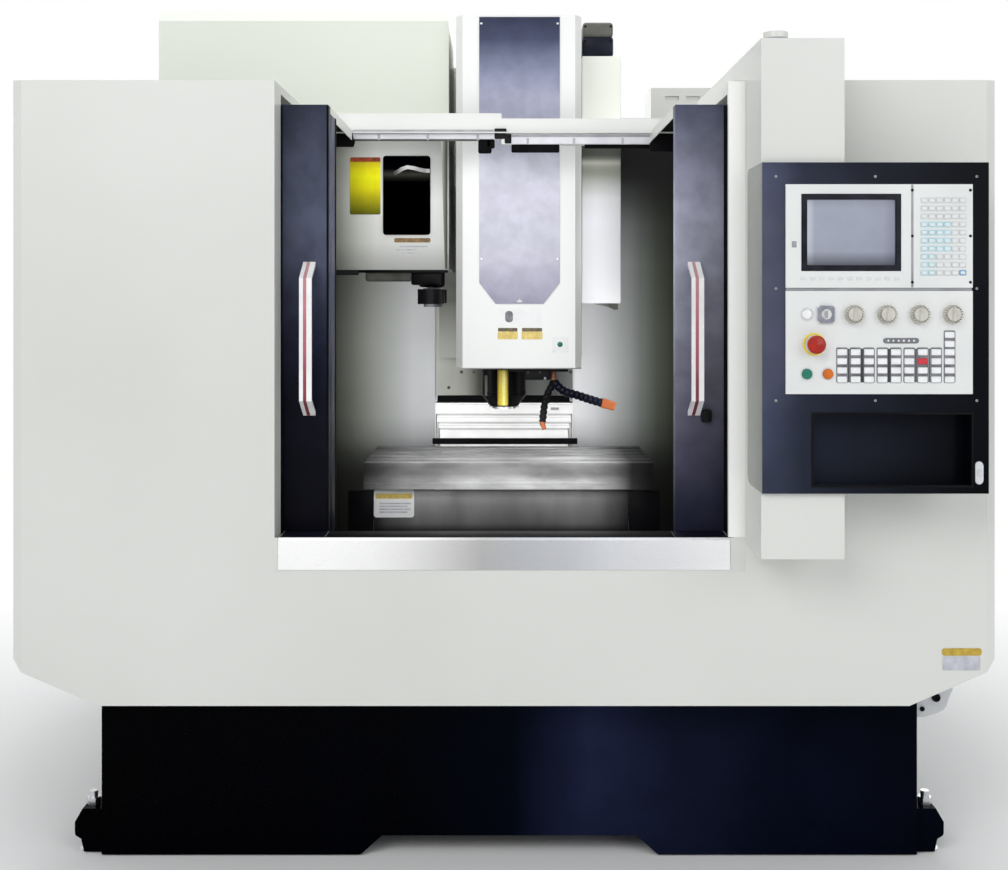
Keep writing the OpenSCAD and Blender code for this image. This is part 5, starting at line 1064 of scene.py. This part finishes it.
# Display unit: six columns of ten small keys, the blue ones half way up and at the lower left
KEY_COLUMNS, KEY_ROWS = 6, 10
caps = {"key_grey": [], "key_blue": [], "key_royal": []}
for column in range(KEY_COLUMNS):
    for row in range(KEY_ROWS):
        if column == 5 and row == 0:
            kind = "key_royal"
        elif (3 <= row <= 6 and column < 4) or (row < 3 and column < 2):
            kind = "key_blue"
        else:
            kind = "key_grey"
        caps[kind].append((key_cap, 1063 + 19.5 * column, 1636 + 20.4 * row, 17.4, 13.4, 2.6))
for kind, parts in caps.items():
    piece(kind + "_caps", kind, "frame", "unit_plastic", *parts)

# Operator unit: dark strips behind the white caps, one red cap, indicator strip
MATRIX_COLUMNS, MATRIX_X, MATRIX_PITCH = 9, 855, 34
TALL_COLUMN = 8
RED_CAP = (6, 2)
columns = [(column, MATRIX_X + MATRIX_PITCH * column) for column in range(MATRIX_COLUMNS)]
piece("matrix_strips", "strip_grey", "frame", "black_plastic",
      *[(plate, (x - 14.6, x + 14.6), (1357, 1490 if column == TALL_COLUMN else 1447), -222.0, 1.2, 4, 0.4)
        for column, x in columns])
piece("matrix_bars", "dark_steel", "frame", "black_plastic",
      *[(box, (x - width / 2, x + width / 2), (-222.6, -220.5), (1359, 1444), 0.6)
        for x, width in ((906, 6.5), (974, 7.5), (872, 3), (1042, 3), (1076, 2.4))])
white_caps, red_caps = [], []
for column, x in columns:
    for row in range(6 if column == TALL_COLUMN else 4):
        chosen = red_caps if (column, row) == RED_CAP else white_caps
        chosen.append((key_cap, x, 1366 + 23 * row - (2 if row > 3 else 0), 24.6, 15.6, 3.4))
piece("matrix_caps", "key_white", "frame", "unit_plastic", *white_caps)
piece("matrix_red_cap", "key_red", "frame", "red_plastic", *red_caps)
piece("indicator_lamps", "key_white", "frame", "unit_plastic",
      *[(turned, [(0, 1.6), (1.8, 1.3), (2.6, 0.4), (2.6, 0), (0, 0)], (x, -222.1, 1464), FORWARD, 16)
        for x in range(972, 1050, 13)])

# Buttons, key switch and knobs
ESTOP = (784, UNIT_D, 1455)
piece("estop_ring", "yellow", "frame", "unit_plastic",
      (turned, [(24.2, 0), (26.2, 0), (27.6, 0.6), (28.6, 2.4), (28.2, 4.6), (26.6, 5.4), (24.2, 5.4),
                (24.2, 0)], ESTOP, FORWARD, 48),
      (turned, [(10.5, 0.2), (25.8, 0.2), (25.8, 1.2), (10.5, 1.2), (10.5, 0.2)], ESTOP, FORWARD, 48))
piece("button_rings", "key_pale", "frame", "unit_plastic",
      *[(turned, [(r, 0), (r + 2.6, 0), (r + 3.2, 0.8), (r + 2.4, 2.0), (r, 2.2), (r, 0)],
         (x, UNIT_D, z), FORWARD, 40)
        for x, z, r in ((766, 1380, 13.4), (819, 1380, 13.4), (766, 1531, 14.2))])
piece("spare_button", "key_white", "frame", "unit_plastic",
      (turned, [(0, 5.6), (9, 5.4), (12, 4.4), (12.8, 2), (12.8, 0), (0, 0)],
       (766, UNIT_D, 1531), FORWARD, 40))


def switch_plate(x, z, half_w, half_h, reach, hole, sides=48):
    """A plate with cut corners round a hole, as far as reach from its middle."""
    rim = [min(half_w / max(abs(c), 1e-9), half_h / max(abs(s), 1e-9), reach) for c, s in circle(sides)]
    rows = ((rim, -220.6), (rim, -229.6), ([hole] * sides, -229.6), ([hole] * sides, -228.6))
    return loft([[point(x + r * c, d, z + r * s) for r, (c, s) in zip(radii, circle(sides))]
                 for radii, d in rows])


piece("key_switch_plate", "switch_grey", "frame", "unit_plastic",
      (switch_plate, 814, 1531, 20.5, 22.0, 26.5, 13.4))

KNOB_Z = 1531
KNOBS_X = [884 + 83 * k for k in range(4)]
GRIP_RADIUS = 22.6


def tick(x, angle):
    """A fine line that points at a knob's axis."""
    c, s = math.cos(angle), math.sin(angle)
    inner, outer, half = 28, 31.5, 0.7
    return outline([(x + r * c + w * s, KNOB_Z + r * s - w * c)
                    for r, w in ((inner, half), (outer, half), (outer, -half), (inner, -half))], -221.3, 0.6)


piece("knob_ticks", "key_grey", "frame", "unit_plastic",
      *[(tick, x, math.radians(225 - 27 * i)) for x in KNOBS_X for i in range(11)])
for k, x in enumerate(KNOBS_X, 1):
    piece("knob_%d_grip" % k, "knob", "knob_%d" % k, "knob_plastic",
          *[(turned, [(0, 0), (1.5, 0), (1.5, 17), (0, 18)], (x + c, -224, KNOB_Z + s), FORWARD, 8)
            for c, s in circle(20, GRIP_RADIUS)],
          (box, (x - 1.0, x + 1.0), (-247.4, -245.6), (1534, 1551), 0.4))

# Lamp base on the pod: skirt and socket for a signal lamp
piece("lamp_base_skirt", "seam_grey", "frame", "unit_plastic",
      (turned, [(0, 0), (35, 0), (35, 5), (33, 8), (32.2, 9), (32.2, 10)], (704, -140, 2233.9), UP, 48))
piece("lamp_base_socket", "black_plastic", "frame", "black_plastic",
      (turned, [(0, 0.4), (24, 0.4), (26, 0), (26, -3), (0, -3)], (704, -140, 2259.6), UP, 48),
      (turned, [(0, 3.4), (7, 3.4), (8.4, 2), (8.4, 0), (0, 0)], (705, -140, 2259.6), UP, 32))

# Cabinet door: sloping louvre blades in frames, latch and screws
DOOR_BACK = depth_of(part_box("cabinet_door")[1].y) - 24
LOUVRE_BACK = DOOR_BACK - 0.2
LOUVRE_DEPTH = 9
LOUVRE_PITCH = 26


def blade(z):
    """One louvre blade with its lower edge at z."""
    out, top = LOUVRE_BACK + LOUVRE_DEPTH, z + LOUVRE_PITCH * 0.62
    return across([(LOUVRE_BACK, z), (out, z + 3), (out, z + 5), (LOUVRE_BACK, top)], 330, 610)


piece("cabinet_louvres", "white", "cabinet_door", "white_paint",
      *[(blade, low + LOUVRE_PITCH * i) for low in (760, 1990) for i in range(7)])
piece("cabinet_louvre_frames", "seam_grey", "cabinet_door", "white_paint",
      *[(border, (312, 628), (low, high), (322, 618), (low + 10, high - 10), LOUVRE_BACK, 2.2, 0.5)
        for low, high in ((744, 968), (1974, 2198))])
piece("cabinet_latch_lever", "black", "cabinet_door", "black_steel",
      (border, (828.5, 855.5), (1398.5, 1541.5), (831, 853), (1401, 1539), DOOR_BACK + 21.4, 2.4, 0.6),
      (turned, [(0, 1.4), (8, 1.4), (9.4, 0.4), (9.4, -3), (0, -3)],
       (842, DOOR_BACK + 22.4, 1522), BACKWARD, 24))
piece("cabinet_door_screws", "zinc", "cabinet_door", "zinc_steel",
      *screws((60, 300, 560, 790), DOOR_BACK, (655, 2295), 5, 3, BACKWARD),
      *screws((317, 623), DOOR_BACK + 1.8, (749, 963, 1979, 2193), 3, 2, BACKWARD))

# Inside of the cabinet: plate, wire ducts, drives, breakers, terminals and supplies
CABINET_D = depth_of(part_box("electrical_cabinet")[0].y) + 12
PLATE_D = CABINET_D + 14


def rise(low, high):
    """Two depths between the cabinet's plate and its door, from the plate."""
    return PLATE_D + low, PLATE_D + high


piece("cabinet_plate", "zinc", "frame", "zinc_steel",
      (box, (80, 860), rise(-4, 0), (700, 2260), 0.6),
      *screws((110, 830), PLATE_D, (712, 2248), 6, 4, BACKWARD),
      *[(turned, disc(8, 12), (x, CABINET_D - 1, z), BACKWARD, 16) for x in (110, 830) for z in (712, 2248)])
DUCT_ROWS = (724, 1130, 1580, 1850, 2196)
piece("cabinet_wire_ducts", "rail_grey", "frame", "guard_paint",
      *[(box, (140, 800), rise(0, 55), (z, z + 44), 2) for z in DUCT_ROWS],
      *[(box, (x, x + 40), rise(0, 55), (724, 2240), 2) for x in (96, 804)])
piece("cabinet_duct_slots", "black_plastic", "frame", "black_plastic",
      *[(box, (152 + 17 * i, 159 + 17 * i), rise(6, 55.4), (z + low, z + low + 15))
        for z in DUCT_ROWS for i in range(38) for low in (-0.4, 29.4)])
cases, fronts, trims = [], [], []
x = 150
for width, size in ((120, 3), (90, 2), (90, 2), (90, 2), (60, 1), (130, 3)):
    cases.append((box, (x, x + width - 4), rise(0, 190), (1200, 1560), 4))
    fronts.append((box, (x + 8, x + width - 12), rise(189, 194), (1216, 1420), 2))
    trims.append((box, (x + 14, x + width - 18), rise(189, 192), (1450, 1492), 1))
    trims += [(box, (x + 14, x + width - 18), rise(193, 195.4), (1230 + 14 * i, 1237 + 14 * i), 0.8)
              for i in range(size * 4)]
    x += width
for left in [160 + 21.5 * i for i in range(28)]:
    cases.append((box, (left, left + 20), rise(0, 68), (1680, 1772), 2))
    fronts.append((box, (left + 6, left + 14), rise(67, 80), (1716, 1738), 1.5))
    trims.append((box, (left + 3, left + 17), rise(67, 69), (1688, 1698), 0.5))
for i in range(60):
    left = 165 + 10.4 * i
    cases.append((box, (left, left + 9.4), rise(0, 46), (860, 931 if i % 12 == 0 else 925), 1))
    trims.append((turned, disc(2.6, 1), (left + 4.7, PLATE_D + 46, 880), BACKWARD, 10))
for left, high in ((180, 2130), (420, 2090), (600, 2110)):
    cases.append((box, (left, left + 150), rise(0, 130), (1940, high), 4))
    fronts.append((box, (left + 14, left + 136), rise(129, 132), (1956, 1990), 2))
    trims += [(box, (left + 20, left + 130), rise(129, 131), (z, z + 5), 0.6) for z in range(2004, 2081, 11)]
piece("cabinet_modules", "unit", "frame", "white_paint", *cases)
piece("cabinet_module_fronts", "black_plastic", "frame", "black_plastic", *fronts)
piece("cabinet_module_trims", "seam_grey", "frame", "guard_paint", *trims)

# Side walls: flat seams, grilles and screws let into the outer faces
SIDE_X = 1328
PROUD = 0.14
LARGE_FIXING = [(0, PROUD), (13, PROUD), (15, 0.05), (15, -2), (0, -2)]
SMALL_FIXING = [(0, PROUD), (5, PROUD), (6, 0), (6, -2), (0, -2)]
SMALL_PLACES = ([(d, z) for d in (606, 653) for z in range(660, 2141, 185)]
                + [(d, z) for d in (60, 1700) for z in range(700, 2121, 355)])
LARGE_ROWS = (960, 1400, 1840)
PANEL_SEAMS = []
for d0, d1, z0, z1 in ((760, 1420, 900, 1900), (860, 1320, 975, 1165)):
    PANEL_SEAMS += [((d, d + 3), (z0, z1)) for d in (d0, d1 - 3)]
    PANEL_SEAMS += [((d0 + 3, d1 - 3), (z, z + 3)) for z in (z0, z1 - 3)]


def flush(sign, d, z, proud=PROUD):
    """A flat strip let into the outer face of one side wall."""
    return box(sorted((sign * (SIDE_X - 1), sign * (SIDE_X + proud))), d, z)


for side, sign in (("left", -1), ("right", 1)):
    piece("side_seams_" + side, "seam_grey", "frame", "white_paint",
          (flush, sign, (628, 631), (600, 2155)), *[(flush, sign, d, z) for d, z in PANEL_SEAMS],
          *[(flush, sign, (880, 1300), (988 + 19 * i, 994 + 19 * i)) for i in range(9)])
    piece("side_grille_lips_" + side, "bright_white", "frame", "white_paint",
          *[(flush, sign, (880, 1300), (994.5 + 19 * i, 998.5 + 19 * i)) for i in range(9)],
          *[(flush, sign, (1424, 1440), (z - 45, z + 45)) for z in (1000, 1380, 1760)])
    outward = (sign, 0, 0)
    piece("side_fixings_" + side, "zinc", "frame", "zinc_steel",
          *[(turned, LARGE_FIXING, (sign * SIDE_X, 786, z), outward, 32) for z in LARGE_ROWS],
          *[(turned, SMALL_FIXING, (sign * SIDE_X, d, z), outward, 20) for d, z in SMALL_PLACES])
    piece("side_fixing_slots_" + side, "black", "frame", "black_steel",
          *[(flush, sign, (776, 796), (z - 2, z + 2), 0.2) for z in LARGE_ROWS],
          *[(flush, sign, (d - 2, d + 2), (z - 2, z + 2), 0.2) for d, z in SMALL_PLACES])
